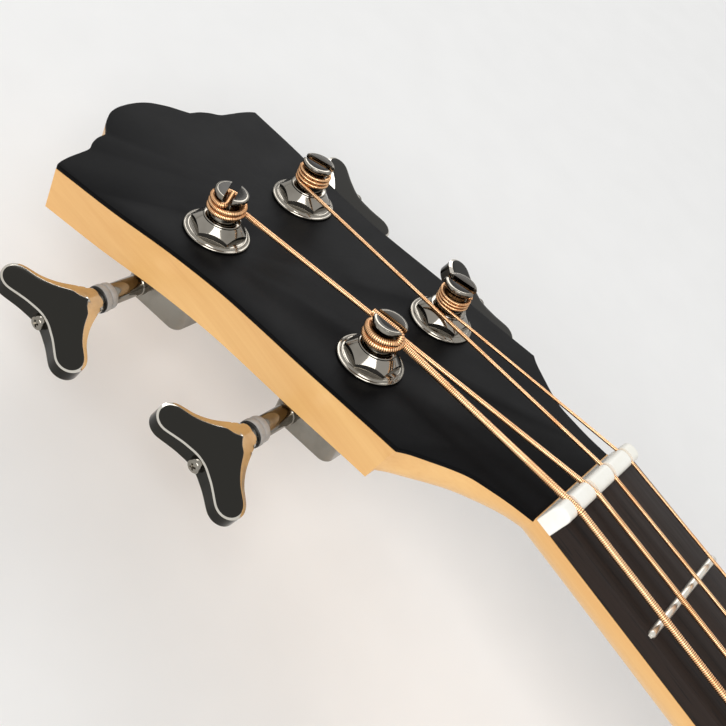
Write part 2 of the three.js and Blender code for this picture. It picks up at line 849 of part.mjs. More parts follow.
function trussSpace() {
  const [low, high] = trussZ();
  const wide = trussWidth / 2 + gap;
  const neckEnd = nutPlace.y - trussFromNut + gap;
  const neckPart = boxOver([-wide, wide], [trussEnd() - overrun, neckEnd], [low - gap, high + gap]);
  const openY = [neckEdge - tenonLength - overrun, neckEnd];
  const open = boxOver([-wide, wide], openY, [low, bodyDepth + overrun]);
  const nutRoom = bar('y', trussNutRadius + gap, trussEnd() - overrun, trussEnd() + trussNutLength + gap, [
    0,
    (low + high) / 2,
  ]);
  return neckPart.add(open).add(nutRoom);
}

function makeTrussRod() {
  const [low, high] = trussZ();
  const rod = boxOver([-trussWidth / 2, trussWidth / 2], [
    trussEnd() + trussNutLength / 2,
    nutPlace.y - trussFromNut,
  ], [low, high]);
  const middle = (low + high) / 2;
  return rod.add(bar('y', trussNutRadius, trussEnd(), trussEnd() + trussNutLength, [0, middle], 6));
}

function makeHeadOverlay() {
  const widening = flareHalfWidth - nutWidth / 2;
  const flare = flareShares.slice(1).map(([along, share]) => {
    return new THREE.Vector2(nutWidth / 2 + share * widening, along * flareStart);
  });
  const head = headOutline().filter((p) => p.x > 0);
  const right = [new THREE.Vector2(nutWidth / 2, gap), ...flare.slice(0, -1), ...head];
  const top = new THREE.Vector2(0, headLength);
  const left = [...right].reverse().map((p) => new THREE.Vector2(-p.x, p.y));
  let solid = prism([...right, top, ...left], [-overlayThickness + gap, 0]);
  for (const side of [-1, 1]) {
    for (const post of [lowerPost, upperPost]) {
      const at = [postX(side, post), post.y];
      solid = solid.subtract(bar('z', bushingRadius + gap, -headThickness, overrun, at, 12));
    }
  }
  return solid;
}

function makeFingerboard() {
  const front = -nutThickness;
  const outline = [
    new THREE.Vector2(-boardHalfWidth(front), front),
    new THREE.Vector2(-boardHalfWidth(boardEnd), boardEnd),
    new THREE.Vector2(boardHalfWidth(boardEnd), boardEnd),
    new THREE.Vector2(boardHalfWidth(front), front),
  ];
  let solid = prism(outline, [0, boardThickness]);
  for (let i = 1; i <= frets; i += 1) {
    const y = front - openStringLength * (1 - 2 ** (-i / 12));
    const reach = boardHalfWidth(y) - fretInset;
    const low = boardThickness - fretSink;
    const high = boardThickness + fretHeight;
    const profile = [
      new THREE.Vector2(-fretWidth / 2, low),
      new THREE.Vector2(fretWidth / 2, low),
      new THREE.Vector2(fretWidth / 2, boardThickness + fretEdgeHeight),
      new THREE.Vector2(fretCrownWidth / 2, high),
      new THREE.Vector2(-fretCrownWidth / 2, high),
      new THREE.Vector2(-fretWidth / 2, boardThickness + fretEdgeHeight),
    ];
    solid = solid.add(acrossNeck(profile, -reach, 2 * reach).translate([0, y, 0]));
  }
  return solid;
}

function makeNut() {
  const profile = [new THREE.Vector2(-nutThickness, 0), new THREE.Vector2(0, 0)];
  const low = nutHeight - nutRound;
  const steps = 6;
  for (let i = 0; i <= steps; i += 1) {
    const angle = (Math.PI * i) / steps;
    const y = -nutThickness / 2 + (Math.cos(angle) * nutThickness) / 2;
    profile.push(new THREE.Vector2(y, low + Math.sin(angle) * nutRound));
  }
  let solid = acrossNeck(profile, -nutWidth / 2, nutWidth);
  strings.forEach((string, i) => {
    const [front, back] = stringPath(i).slice(-3, -1);
    const wide = string.diameter / 2 + slotSideClear;
    const under = string.diameter / 2 + gap;
    const slope = (back.z - front.z) / (back.y - front.y);
    const ends = [front.y - overrun, back.y + overrun];
    const floor = ends.map((y) => front.z + (y - front.y) * slope - under);
    const cutter = [
      new THREE.Vector2(ends[0], Math.min(floor[0], front.z - under)),
      new THREE.Vector2(front.y, front.z - under),
      new THREE.Vector2(ends[1], floor[1]),
      new THREE.Vector2(ends[1], nutHeight + overrun),
      new THREE.Vector2(ends[0], nutHeight + overrun),
    ];
    solid = solid.subtract(acrossNeck(cutter, (front.x + back.x) / 2 - wide, 2 * wide));
  });
  return solid;
}

// Strings, in the frame of the nut

function toNutFrame(point) {
  return point.clone().applyAxisAngle(new THREE.Vector3(1, 0, 0), -headTurn);
}

function toHeadFrame(point) {
  return point.clone().applyAxisAngle(new THREE.Vector3(1, 0, 0), headTurn);
}

function windingRadius(string) {
  return postRadius + gap + string.diameter / 2;
}

const stepsToSlot = 1.5; // from the last full step of a winding to the middle of the slot

// The string's bend into the slot: steps short of the slot, and shares of the winding's radius
const intoSlotShares = [
  [0.7, 0.97],
  [0.15, 0.88],
  [0, 0.72],
  [0, 0.2],
];

function windingPitch(string) {
  return string.diameter + windingGap;
}

function windingLow(string) {
  return windingTop - string.turns * windingPitch(string);
}

// Where the string leaves its winding, in the headstock's frame, and the angle of that point
function leavingPoint(i) {
  const string = strings[i];
  const x = stringX(i, nutStringSpacing, nutStringShift);
  const from = toHeadFrame(new THREE.Vector3(x, 0, stringHeightAtNut));
  const centre = new THREE.Vector2(postX(string.side, string.post), string.post.y);
  const start = new THREE.Vector2(from.x, from.y);
  const toCentre = centre.clone().sub(start);
  const radius = windingRadius(string);
  const spread = Math.asin(radius / toCentre.length());
  const length = Math.sqrt(toCentre.lengthSq() - radius ** 2);
  const direction = toCentre.clone().normalize().rotateAround(new THREE.Vector2(), string.side * spread);
  const touch = start.clone().addScaledVector(direction, length);
  const angle = Math.atan2(touch.y - centre.y, touch.x - centre.x);
  return { touch, direction, angle, centre, z: windingLow(string) };
}

function stringPath(i) {
  const string = strings[i];
  const r = string.diameter / 2;
  const nutX = stringX(i, nutStringSpacing, nutStringShift);
  const bridgeX = stringX(i, bridgeStringSpacing, 0);
  const shift = nutPlace.y;
  const slotY = slotPlace(string) - shift;
  const saddleY = saddlePlace - saddleThickness / 2 - shift;
  const leave = leavingPoint(i);
  const end = leave.touch.clone().addScaledVector(leave.direction, -gap);
  const last = toNutFrame(new THREE.Vector3(end.x, end.y, leave.z));
  const front = new THREE.Vector3(nutX, -nutThickness, stringHeightAtNut + r);
  const toPost = last.clone().sub(front);
  const back = front.clone().addScaledVector(toPost, nutThickness / toPost.y);
  return [
    new THREE.Vector3(bridgeX, slotY, bridgeHeight - stringDropInSlot),
    new THREE.Vector3(bridgeX, slotY, bridgeHeight + r + gap),
    new THREE.Vector3(bridgeX, saddleY, stringHeightAtBridge + r),
    front,
    back,
    last,
  ];
}

function makeString(i) {
  const path = stringPath(i);
  return tube([...path.slice(0, 4), path[5]], strings[i].diameter / 2, stringSides);
}

// The winding, in the frame of its tuning machine: up from where the string leaves, then into the slot
function windingPoints(i) {
  const string = strings[i];
  const leave = leavingPoint(i);
  const radius = windingRadius(string);
  const count = Math.round(string.turns * windingSteps);
  const points = [];
  for (let k = 0; k <= count; k += 1) {
    const angle = leave.angle - string.side * ((2 * Math.PI * k) / windingSteps);
    const z = leave.z + (k / windingSteps) * windingPitch(string);
    points.push(new THREE.Vector3(Math.cos(angle) * radius, Math.sin(angle) * radius, z));
  }
  const slot = slotAngle(i);
  const top = points[count].z;
  for (const [turn, share] of intoSlotShares) {
    const angle = slot + string.side * (turn * 2 * Math.PI) / windingSteps;
    points.push(new THREE.Vector3(Math.cos(angle) * radius * share, Math.sin(angle) * radius * share, top));
  }
  return points;
}

function slotAngle(i) {
  const string = strings[i];
  const count = Math.round(string.turns * windingSteps) + stepsToSlot;
  return leavingPoint(i).angle - string.side * ((2 * Math.PI * count) / windingSteps);
}

// Least distance between surfaces of turns that lie one above the other, measured on the ring points
function leastGap(rings) {
  let least = Infinity;
  const nextTurn = Math.round((windingSteps * 3) / 4);
  rings.forEach((points, i) => {
    for (let j = i + nextTurn; j < rings.length; j += 1) {
      for (const p of points) {
        for (const q of rings[j]) least = Math.min(least, p.distanceTo(q));
      }
    }
  });
  return least;
}

function makeWinding(i) {
  const string = strings[i];
  const rings = tubeRings(windingPoints(i), string.diameter / 2, windingSides);
  console.log(`winding ${string.name}: least gap to itself ${leastGap(rings).toFixed(2)} mm`);
  return skin(rings);
}

// Tuning machines, in the frame of the post: treble ones are the mirror of bass ones

function makeBushing() {
  const top = washerThickness + bellHeight;
  const corner = 1 / Math.cos(Math.PI / 6);
  const solid = turned(
    [
      [0, -headThickness],
      [bushingRadius, -headThickness],
      [bushingRadius, gap],
      [washerRadius, gap],
      [washerRadius, washerEdge],
      [washerRadius - washerChamfer, washerThickness],
      [(bellBaseAcross / 2) * corner, washerThickness],
      [(bellBaseAcross / 2) * corner, washerThickness + bellRimHeight],
      [bellTopAcross / 2, top],
      [0, top],
    ],
    16,
  );
  const flats = new THREE.CylinderGeometry(
    (bellBaseAcross / 2) * corner,
    (bellBaseAcross / 2) * corner,
    bellHeight + overrun,
    6,
  );
  flats.rotateX(Math.PI / 2);
  flats.translate(0, 0, washerThickness + (bellHeight + overrun) / 2);
  const lower = boxOver([-washerRadius, washerRadius], [-washerRadius, washerRadius], [
    -headThickness,
    washerThickness,
  ]);
  const bore = bar('z', postRadius + gap / 2, -headThickness - overrun, top + overrun, [0, 0], 14);
  return solid.intersect(toSolid(flats).add(lower)).subtract(bore);
}

function wheelSolid() {
  const tooth = (2 * Math.PI) / wheelTeeth;
  const corner = (angle, radius) => [Math.cos(angle) * radius, Math.sin(angle) * radius];
  const section = (twist) => {
    const points = [];
    for (let i = 0; i < wheelTeeth; i += 1) {
      const middle = Math.PI / 2 + tooth * (i + 0.5) + twist;
      const tip = wheelToothTip / 2 / wheelTipRadius;
      for (const [angle, radius] of [
        [middle - tooth / 2, wheelRootRadius],
        [middle - tip, wheelTipRadius],
        [middle + tip, wheelTipRadius],
      ]) {
        points.push(corner(angle, radius));
      }
    }
    return points;
  };
  const lead = threadPitch / (2 * Math.PI * wormPitchRadius);
  const rings = [-0.5, 0.5].map((end) => {
    const z = end * wheelThickness;
    const twist = (z * lead) / ((wheelTeeth * gearModule) / 2);
    return section(twist).map(([x, y]) => new THREE.Vector3(x, y, z - gearDepth));
  });
  const outer = section(0);
  const low = new THREE.Shape(outer.map(([x, y]) => new THREE.Vector2(x, y)));
  const cap = THREE.ShapeUtils.triangulateShape(low.getPoints(), []);
  const count = rings[0].length;
  const faces = [];
  for (const [a, b, c] of cap) faces.push(a, c, b, count + a, count + b, count + c);
  for (let j = 0; j < count; j += 1) {
    const next = (j + 1) % count;
    faces.push(j, next, count + next, j, count + next, count + j);
  }
  return toSolid(facesOver(rings, faces));
}

function makePost(slotTurn) {
  const foot = -gearDepth - wheelThickness / 2 - gearRoom;
  const solid = turned(
    [
      [0, foot],
      [postRadius, foot],
      [postRadius, postHeight - postFlareHeight],
      [postFlareRadius, postHeight - postFlareHeight + postLipHeight],
      [postFlareRadius, postHeight],
      [0, postHeight],
    ],
    14,
  );
  const slotX = [-postFlareRadius - overrun, postFlareRadius + overrun];
  const slotZ = [postHeight - postSlotDepth, postHeight + overrun];
  const slot = boxOver(slotX, [-postSlotWidth / 2, postSlotWidth / 2], slotZ);
  return solid.add(wheelSolid()).subtract(slot.rotate([0, 0, THREE.MathUtils.radToDeg(slotTurn)]));
}

// Section across the worm with its one thread at an angle
function wormSection(angle) {
  const tip = (Math.PI * threadTip) / threadPitch;
  const base = (Math.PI * threadBase) / threadPitch;
  const rest = (Math.PI - base) / 2;
  return [
    [-base, wormRootRadius],
    [-tip, wormTipRadius],
    [0, wormTipRadius],
    [tip, wormTipRadius],
    [base, wormRootRadius],
    [base + rest, wormRootRadius],
    [base + 2 * rest, wormRootRadius],
    [base + 3 * rest, wormRootRadius],
  ].map(([turn, radius]) => [Math.cos(angle + turn) * radius, Math.sin(angle + turn) * radius]);
}

// The worm, its key shaft and the screw that holds the key, along -X for the bass side
function makeWorm() {
  const y = centreDistance;
  const z = -gearDepth;
  const shaft = bar('x', shaftRadius, -keyOuter - gap, gap - wormReach, [y, z], 12);
  const stub = bar('x', stubRadius, wormReach - gap, wormReach + gearRoom, [y, z], 8);
  const rings = [];
  for (let k = 0; k <= wormTurns * wormStepsPerTurn; k += 1) {
    const turns = k / wormStepsPerTurn - wormTurns / 2;
    rings.push(wormSection(Math.PI + 2 * Math.PI * turns).map(([dy, dz]) => {
      return new THREE.Vector3(turns * threadPitch, y + dy, z + dz);
    }));
  }
  const head = bar('x', screwHeadRadius, -keyOuter - gap - screwHeadThickness, -keyOuter - gap, [y, z], 12);
  return shaft.add(skin(rings)).add(stub).add(head);
}

function makeHousing() {
  const y = centreDistance;
  const z = -gearDepth;
  const low = z - wormTipRadius - gearRoom - housingWall;
  const wheelRoom = wheelTipRadius + gearRoom;
  const across = [-wheelRoom - housingWall, y + wormTipRadius + gearRoom + housingWall];
  const radius = housingCorner;
  const shape = new THREE.Shape();
  const x = [-housingOuter, housingInner];
  shape.moveTo(x[0] + radius, across[0]);
  shape.lineTo(x[1] - radius, across[0]);
  shape.quadraticCurveTo(x[1], across[0], x[1], across[0] + radius);
  shape.lineTo(x[1], across[1] - radius);
  shape.quadraticCurveTo(x[1], across[1], x[1] - radius, across[1]);
  shape.lineTo(x[0] + radius, across[1]);
  shape.quadraticCurveTo(x[0], across[1], x[0], across[1] - radius);
  shape.lineTo(x[0], across[0] + radius);
  shape.quadraticCurveTo(x[0], across[0], x[0] + radius, across[0]);
  const geometry = new THREE.ExtrudeGeometry(shape, {
    depth: -headThickness - gap - low,
    bevelEnabled: false,
    curveSegments: 3,
  });
  geometry.translate(0, 0, low);
  let solid = toSolid(geometry);
  solid = solid.add(bar('x', housingNeckRadius, -housingEnd, 0, [y, z], 12));
  const wheelLow = z - wheelThickness / 2 - gearRoom * 2;
  const wheelCavity = bar('z', wheelRoom, wheelLow, -headThickness + overrun, [0, 0], 18);
  const reach = wormReach + gearRoom * 2;
  const wormCavity = bar('x', wormTipRadius + gearRoom, -reach, reach, [y, z], 12);
  const bore = bar('x', shaftRadius + gap / 2, -housingEnd - overrun, reach + gearRoom, [y, z], 12);
  return solid.subtract(wheelCavity).subtract(wormCavity).subtract(bore);
}

function makeCollar() {
  const at = [centreDistance, -gearDepth];
  const solid = bar('x', collarRadius, -collarInner - collarLength, -collarInner, at, 16);
  const bore = bar('x', shaftRadius + gap / 2, -keyInner - overrun, overrun - collarInner, at, 12);
  return solid.subtract(bore);
}

// Half outline of the key from its hub: shares of its length, and of half its span
const keyShares = [
  [0, 0.154],
  [0.177, 0.271],
  [0.339, 0.4],
  [0.419, 0.486],
  [0.5, 0.589],
  [0.56, 0.691],
  [0.605, 0.794],
  [0.649, 0.886],
  [0.702, 0.954],
  [0.766, 0.994],
  [0.831, 1],
  [0.895, 0.977],
  [0.952, 0.92],
  [0.988, 0.84],
  [1, 0.76],
  [0.992, 0.674],
  [0.964, 0.583],
  [0.927, 0.48],
  [0.887, 0.36],
  [0.859, 0.251],
  [0.835, 0.149],
  [keyHollowShare, 0.06],
];

function makeKey() {
  const edge = keyShares.map(([along, share]) => {
    return new THREE.Vector2(-keyInner - along * keyLength, (share * keySpan) / 2);
  });
  const upper = new THREE.SplineCurve(edge).getPoints(16);
  const lower = [...upper].reverse().map((p) => new THREE.Vector2(p.x, -p.y));
  const shape = new THREE.Shape([...upper, ...lower]);
  const geometry = new THREE.ExtrudeGeometry(shape, {
    depth: keyThickness - 2 * keyBevel,
    bevelThickness: keyBevel,
    bevelSize: keyBevel,
    bevelOffset: -keyBevel,
    bevelSegments: 1,
  });
  geometry.translate(0, 0, keyBevel - keyThickness / 2);
  geometry.rotateX(THREE.MathUtils.degToRad(keyTilt));
  geometry.translate(0, centreDistance, -gearDepth);
  const at = [centreDistance, -gearDepth];
  const hub = bar('x', keyHubRadius, -keyInner - keyHubLength, -keyInner, at, 12);
  const boss = bar('x', keyBossRadius, -keyOuter, -keyInner, at, 12);
  const bore = bar('x', shaftRadius + gap / 2, -keyOuter - overrun, overrun - keyInner, at, 12);
  return toSolid(geometry).add(hub).add(boss).subtract(bore);
}

function mirrored(solid, side) {
  return side < 0 ? solid : solid.mirror([1, 0, 0]);
}

// Assembly

const group = new THREE.Group();
group.add(piece('back', makeBack(), 'mahogany'));
group.add(piece('top', makeTop(), 'spruce'));
const backLiningZ = [plateThickness, plateThickness + liningHeight];
const topLiningZ = [topUnderside - liningHeight, topUnderside];
for (const [name, side] of [['bass', -1], ['treble', 1]]) {
  group.add(piece(`side_${name}`, makeSide(side), 'mahogany'));
  group.add(piece(`back_lining_${name}`, makeLining(side, backLiningZ), 'cedar'));
  group.add(piece(`top_lining_${name}`, makeLining(side, topLiningZ), 'cedar'));
}
group.add(piece('back_binding', ring(0, bindingWidth, [0, bindingHeight]), 'cream'));
group.add(piece('top_binding', makeTopBinding(), 'cream'));
group.add(piece('neck_block', makeNeckBlock(), 'mahogany'));
group.add(piece('tail_block', makeTailBlock(), 'mahogany'));
group.add(piece('x_brace', makeXBrace(), 'cedar'));
group.add(piece('upper_brace', makeUpperBrace(), 'cedar'));
group.add(piece('back_bracing', makeBackBracing(), 'cedar'));
group.add(piece('bridge_plate', makeBridgePlate(), 'maple'));
group.add(piece('bridge', makeBridge(), 'ebony'));
group.add(piece('saddle', saddleBox(0, 0), 'bone'));
group.add(piece('end_pin', makeEndPin(), 'black'));
group.add(piece('truss_rod', makeTrussRod(), 'steel'));
strings.forEach((string, i) => {
  group.add(piece(`bridge_pin_${string.name}`, makePin(i), 'black'));
});

const neckGroup = new THREE.Group();
neckGroup.position.copy(nutPlace);
group.add(neckGroup);
neckGroup.add(piece('neck', makeNeck(), 'maple'));
neckGroup.add(piece('fingerboard', makeFingerboard(), 'ebony'));
neckGroup.add(piece('nut', makeNut(), 'bone'));
strings.forEach((string, i) => {
  neckGroup.add(piece(`string_${string.name}`, makeString(i), 'bronze'));
});

const headGroup = new THREE.Group();
headGroup.rotation.x = -headTurn;
neckGroup.add(headGroup);
headGroup.add(piece('head_overlay', makeHeadOverlay(), 'black'));
strings.forEach((string, i) => {
  const tuner = new THREE.Group();
  tuner.position.set(postX(string.side, string.post), string.post.y, 0);
  headGroup.add(tuner);
  const { name, side } = string;
  const slot = slotAngle(i);
  tuner.add(piece(`bushing_${name}`, makeBushing(), 'nickel'));
  tuner.add(piece(`post_${name}`, mirrored(makePost(side < 0 ? slot : Math.PI - slot), side), 'nickel'));
  tuner.add(piece(`housing_${name}`, mirrored(makeHousing(), side), 'nickel'));
  tuner.add(piece(`worm_${name}`, mirrored(makeWorm(), side), 'nickel'));
  tuner.add(piece(`key_${name}`, mirrored(makeKey(), side), 'nickel'));
  tuner.add(piece(`collar_${name}`, mirrored(makeCollar(), side), 'grey'));
  tuner.add(piece(`winding_${name}`, makeWinding(i), 'bronze'));
});

export default group;
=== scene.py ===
import math

import bmesh
import bpy
from mathutils import Matrix, Quaternion, Vector


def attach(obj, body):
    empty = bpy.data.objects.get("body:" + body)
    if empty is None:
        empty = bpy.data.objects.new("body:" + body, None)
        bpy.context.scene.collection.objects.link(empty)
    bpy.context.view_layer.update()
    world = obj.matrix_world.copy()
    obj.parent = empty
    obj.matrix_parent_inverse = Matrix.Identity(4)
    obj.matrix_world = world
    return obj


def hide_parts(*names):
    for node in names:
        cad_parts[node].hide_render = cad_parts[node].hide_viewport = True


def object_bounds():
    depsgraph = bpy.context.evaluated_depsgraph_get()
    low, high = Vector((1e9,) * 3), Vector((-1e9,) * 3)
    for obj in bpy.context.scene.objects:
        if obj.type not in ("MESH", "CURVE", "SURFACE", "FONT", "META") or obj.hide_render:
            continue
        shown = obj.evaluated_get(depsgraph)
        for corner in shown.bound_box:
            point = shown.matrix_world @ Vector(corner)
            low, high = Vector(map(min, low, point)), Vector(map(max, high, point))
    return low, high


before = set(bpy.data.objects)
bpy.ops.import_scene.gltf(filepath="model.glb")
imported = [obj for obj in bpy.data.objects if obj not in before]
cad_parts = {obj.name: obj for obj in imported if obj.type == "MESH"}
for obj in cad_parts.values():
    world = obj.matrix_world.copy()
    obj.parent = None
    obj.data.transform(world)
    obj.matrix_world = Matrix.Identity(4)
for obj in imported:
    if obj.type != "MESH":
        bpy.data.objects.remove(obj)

cadLow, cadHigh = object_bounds()
mm = 0.001  # every size below is in millimetres, and meshes are in metres
tip = 0.01  # radius of the small flat that closes a turned piece on its axis
arcShare = 0.3  # where the middle point of a softened edge lies, as a share of its softness
proud = 0.02  # a piece laid on another stands this far off it, or reaches this far into it

# Places that several pieces share, as the solids have them
common = {
    "openString": 603.25,
    "compensation": 3,
    "bodyFret": 14,
    "bodyLength": 416,
    "bodyDepth": 100,
    "nutWidth": 43,
    "nutThickness": 5.5,
    "boardThickness": 5.8,
    "boardOverhang": 60,
    "bodyFretWidth": 52.5,
    "headTurn": 14.2,
    "headLength": 180.3,
    "headHalfWidth": 43.1,
    "flareStart": 36.8,
    "flareHalfWidth": 36.8,
}
neckEdge = common["bodyLength"] / 2
fretReach = common["openString"] * (1 - 2 ** (-common["bodyFret"] / 12))
nutPlace = Vector((0, neckEdge + fretReach + common["nutThickness"], common["bodyDepth"]))
headTurn = math.radians(common["headTurn"])
nutFrame = Matrix.Translation(nutPlace)
headFrame = nutFrame @ Matrix.Rotation(-headTurn, 4, "X")
saddleLine = neckEdge + fretReach - common["openString"] - common["compensation"]
rootBody = "instrument"


# Meshes

def newPiece(name, points, faces, place=None):
    mesh = bpy.data.meshes.new(name)
    turn = place or Matrix.Identity(4)
    mesh.from_pydata([(turn @ Vector(p)) * mm for p in points], [], faces)
    obj = bpy.data.objects.new(name, mesh)
    bpy.context.scene.collection.objects.link(obj)
    cleanMesh(obj)
    return obj


def cleanMesh(obj, reach=1e-6):
    work = bmesh.new()
    work.from_mesh(obj.data)
    bmesh.ops.remove_doubles(work, verts=work.verts, dist=reach)
    bmesh.ops.dissolve_degenerate(work, dist=reach / 10, edges=work.edges)
    bmesh.ops.recalc_face_normals(work, faces=work.faces)
    work.to_mesh(obj.data)
    work.free()


# Smooth shading, with edges sharper than the angle kept crisp
def smoothMesh(obj, angle=32):
    work = bmesh.new()
    work.from_mesh(obj.data)
    for face in work.faces:
        face.smooth = True
    limit = math.radians(angle)
    for edge in work.edges:
        edge.smooth = len(edge.link_faces) == 2 and edge.calc_face_angle(0) < limit
    work.to_mesh(obj.data)
    work.free()


# Rings of as many points each, joined one to the next; a closed row joins its last to its first
def loft(rings, closed=False):
    around = len(rings[0])
    points = [p for ring in rings for p in ring]
    faces = []
    last = len(rings) if closed else len(rings) - 1
    for i in range(last):
        a = i * around
        b = (i + 1) % len(rings) * around
        for j in range(around):
            k = (j + 1) % around
            faces.append((a + j, a + k, b + k, b + j))
    if not closed:
        faces.append(tuple(range(around)))
        faces.append(tuple(range(len(points) - around, len(points))))
    return points, faces


# A profile of radius and height, turned about Z
def lathe(profile, segments=64):
    turns = [2 * math.pi * j / segments for j in range(segments)]
    return loft([[(r * math.cos(a), r * math.sin(a), z) for a in turns] for r, z in profile])


# A closed profile of radius and height, carried round Z
def turned(profile, segments):
    turns = [2 * math.pi * j / segments for j in range(segments)]
    return loft([[(r * math.cos(a), r * math.sin(a), z) for r, z in profile] for a in turns], True)


def circle(radius, count):
    turns = [2 * math.pi * k / count for k in range(count)]
    return [(radius * math.cos(a), radius * math.sin(a)) for a in turns]


def oblong(low, high):
    return [(low[0], low[1]), (high[0], low[1]), (high[0], high[1]), (low[0], high[1])]


def slab(outline, low, high):
    return loft([[(x, y, z) for x, y in outline] for z in (low, high)])


def joined(parts):
    points, faces = [], []
    for more, theirFaces in parts:
        start = len(points)
        points += [tuple(p) for p in more]
        faces += [tuple(start + k for k in face) for face in theirFaces]
    return points, faces


def moved(part, place):
    points, faces = part
    return [tuple(place @ Vector(p)) for p in points], faces


# A smooth curve through points, as the solids' outlines have it, evenly spaced
def curveThrough(points, count, closed=False):
    rows = [Vector(p) for p in points]
    total = len(rows)
    spans = total if closed else total - 1
    dense = []
    for i in range(spans):
        if closed:
            p0, p1, p2, p3 = (rows[(i + k) % total] for k in (-1, 0, 1, 2))
        else:
            p1, p2 = rows[i], rows[i + 1]
            p0 = rows[i - 1] if i > 0 else p1 * 2 - p2
            p3 = rows[i + 2] if i + 2 < total else p2 * 2 - p1
        d0, d1, d2 = (math.sqrt(max((b - a).length, 1e-6)) for a, b in ((p0, p1), (p1, p2), (p2, p3)))
        t1 = ((p1 - p0) / d0 - (p2 - p0) / (d0 + d1) + (p2 - p1) / d1) * d1
        t2 = ((p2 - p1) / d1 - (p3 - p1) / (d1 + d2) + (p3 - p2) / d2) * d1
        for k in range(16):
            w = k / 16
            dense.append(p1 + t1 * w + (p2 * 3 - p1 * 3 - t1 * 2 - t2) * w ** 2
                         + (p1 * 2 - p2 * 2 + t1 + t2) * w ** 3)
    dense.append(rows[0].copy() if closed else rows[-1].copy())
    lengths = [0.0]
    for a, b in zip(dense, dense[1:]):
        lengths.append(lengths[-1] + (b - a).length)
    wanted = count if closed else count - 1
    made, k = [], 0
    for i in range(count):
        target = lengths[-1] * i / wanted
        while k < len(lengths) - 2 and lengths[k + 1] < target:
            k += 1
        span = max(lengths[k + 1] - lengths[k], 1e-9)
        made.append(dense[k].lerp(dense[k + 1], (target - lengths[k]) / span))
    return made


def valueAt(table, x):
    for (x0, y0), (x1, y1) in zip(table, table[1:]):
        if x <= x1:
            return y0 + (y1 - y0) * max(x - x0, 0) / max(x1 - x0, 1e-9)
    return table[-1][1]


def applyModifiers(obj):
    bpy.context.view_layer.update()
    seen = obj.evaluated_get(bpy.context.evaluated_depsgraph_get())
    mesh = bpy.data.meshes.new_from_object(seen)
    obj.modifiers.clear()
    obj.data = mesh
    return obj


def combine(obj, other, operation="DIFFERENCE"):
    change = obj.modifiers.new("cut", "BOOLEAN")
    change.operation = operation
    change.solver = "EXACT"
    change.object = other
    applyModifiers(obj)
    bpy.data.objects.remove(other)
    return obj


def softEdges(obj, width, segments=2, angle=35):
    change = obj.modifiers.new("edges", "BEVEL")
    change.width = width * mm
    change.segments = segments
    change.limit_method = "ANGLE"
    change.angle_limit = math.radians(angle)
    return applyModifiers(obj)


# A place in millimetres, for a mesh that is already in metres
def scaledPlace(place):
    made = place.copy()
    made.translation = place.translation * mm
    return made


# The last step of every piece: shading, finish, the body that it moves with, and what it stands for
def finishPiece(obj, finish, slot, nodes=(), body=rootBody, angle=32):
    cleanMesh(obj)
    smoothMesh(obj, angle)
    obj.data.materials.clear()
    obj.data.materials.append(finishes[finish])
    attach(obj, body)
    if nodes:
        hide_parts(*nodes)


# The same, for a piece made in a frame of its own
def seatPiece(obj, place, *details, **more):
    obj.data.transform(scaledPlace(place))
    finishPiece(obj, *details, **more)


# Node graphs, for finishes and for geometry

class Wire:
    def __init__(self, graph, socket):
        self.graph = graph
        self.socket = socket

    def maths(self, operation, first, second=0.0):
        return self.graph.node("ShaderNodeMath", {"operation": operation}, {0: first, 1: second})

    def __add__(self, other):
        return self.maths("ADD", self, other)

    def __sub__(self, other):
        return self.maths("SUBTRACT", self, other)

    def __rsub__(self, other):
        return self.maths("SUBTRACT", other, self)

    def __mul__(self, other):
        return self.maths("MULTIPLY", self, other)

    def __truediv__(self, other):
        return self.maths("DIVIDE", self, other)

    def __mod__(self, other):
        return self.maths("MODULO", self, other)

    def __gt__(self, other):
        return self.maths("GREATER_THAN", self, other)

    def __rpow__(self, other):
        return self.maths("POWER", other, self)


class Graph:
    def __init__(self, tree):
        self.tree = tree

    def node(self, kind, settings=None, values=None, out=0):
        made = self.tree.nodes.new(kind)
        for name, value in (settings or {}).items():
            if name == "stops":
                ends = made.color_ramp.elements
                ends[0].position, ends[0].color = value[0]
                ends[1].position, ends[1].color = value[-1]
                for position, colour in value[1:-1]:
                    ends.new(position).color = colour
            else:
                setattr(made, name, value)
        for key, value in (values or {}).items():
            if isinstance(value, Wire):
                self.tree.links.new(value.socket, made.inputs[key])
            else:
                made.inputs[key].default_value = value
        return Wire(self, made.outputs[out]) if len(made.outputs) else None

    def noise(self, place, scale, detail=2.0, roughness=0.5, distortion=0.0):
        return self.node("ShaderNodeTexNoise", None, {
            "Vector": place, "Scale": scale,
            "Detail": detail, "Roughness": roughness, "Distortion": distortion,
        })

    def spread(self, value, low, high, toLow=0.0, toHigh=1.0):
        return self.node("ShaderNodeMapRange", {"clamp": True}, {
            "Value": value, "From Min": low, "From Max": high, "To Min": toLow, "To Max": toHigh,
        })

    def mix(self, share, first, second):
        return self.node("ShaderNodeMix", {"data_type": "RGBA"}, {0: share, 6: first, 7: second}, 2)

    def stretched(self, scale, turn=(0, 0, 0), layer=None):
        if layer:
            place = self.node("ShaderNodeUVMap", {"uv_map": layer})
        else:
            place = self.node("ShaderNodeTexCoord", out="Object")
        return self.node("ShaderNodeMapping", None, {"Vector": place, "Scale": scale, "Rotation": turn})

    def bump(self, height, strength, distance):
        return self.node("ShaderNodeBump", None, {
            "Height": height, "Strength": strength, "Distance": distance * mm,
        })


def colour(text):
    channels = [int(text[k:k + 2], 16) / 255 for k in (0, 2, 4)]
    return tuple(c / 12.92 if c < 0.04045 else ((c + 0.055) / 1.055) ** 2.4 for c in channels) + (1.0,)


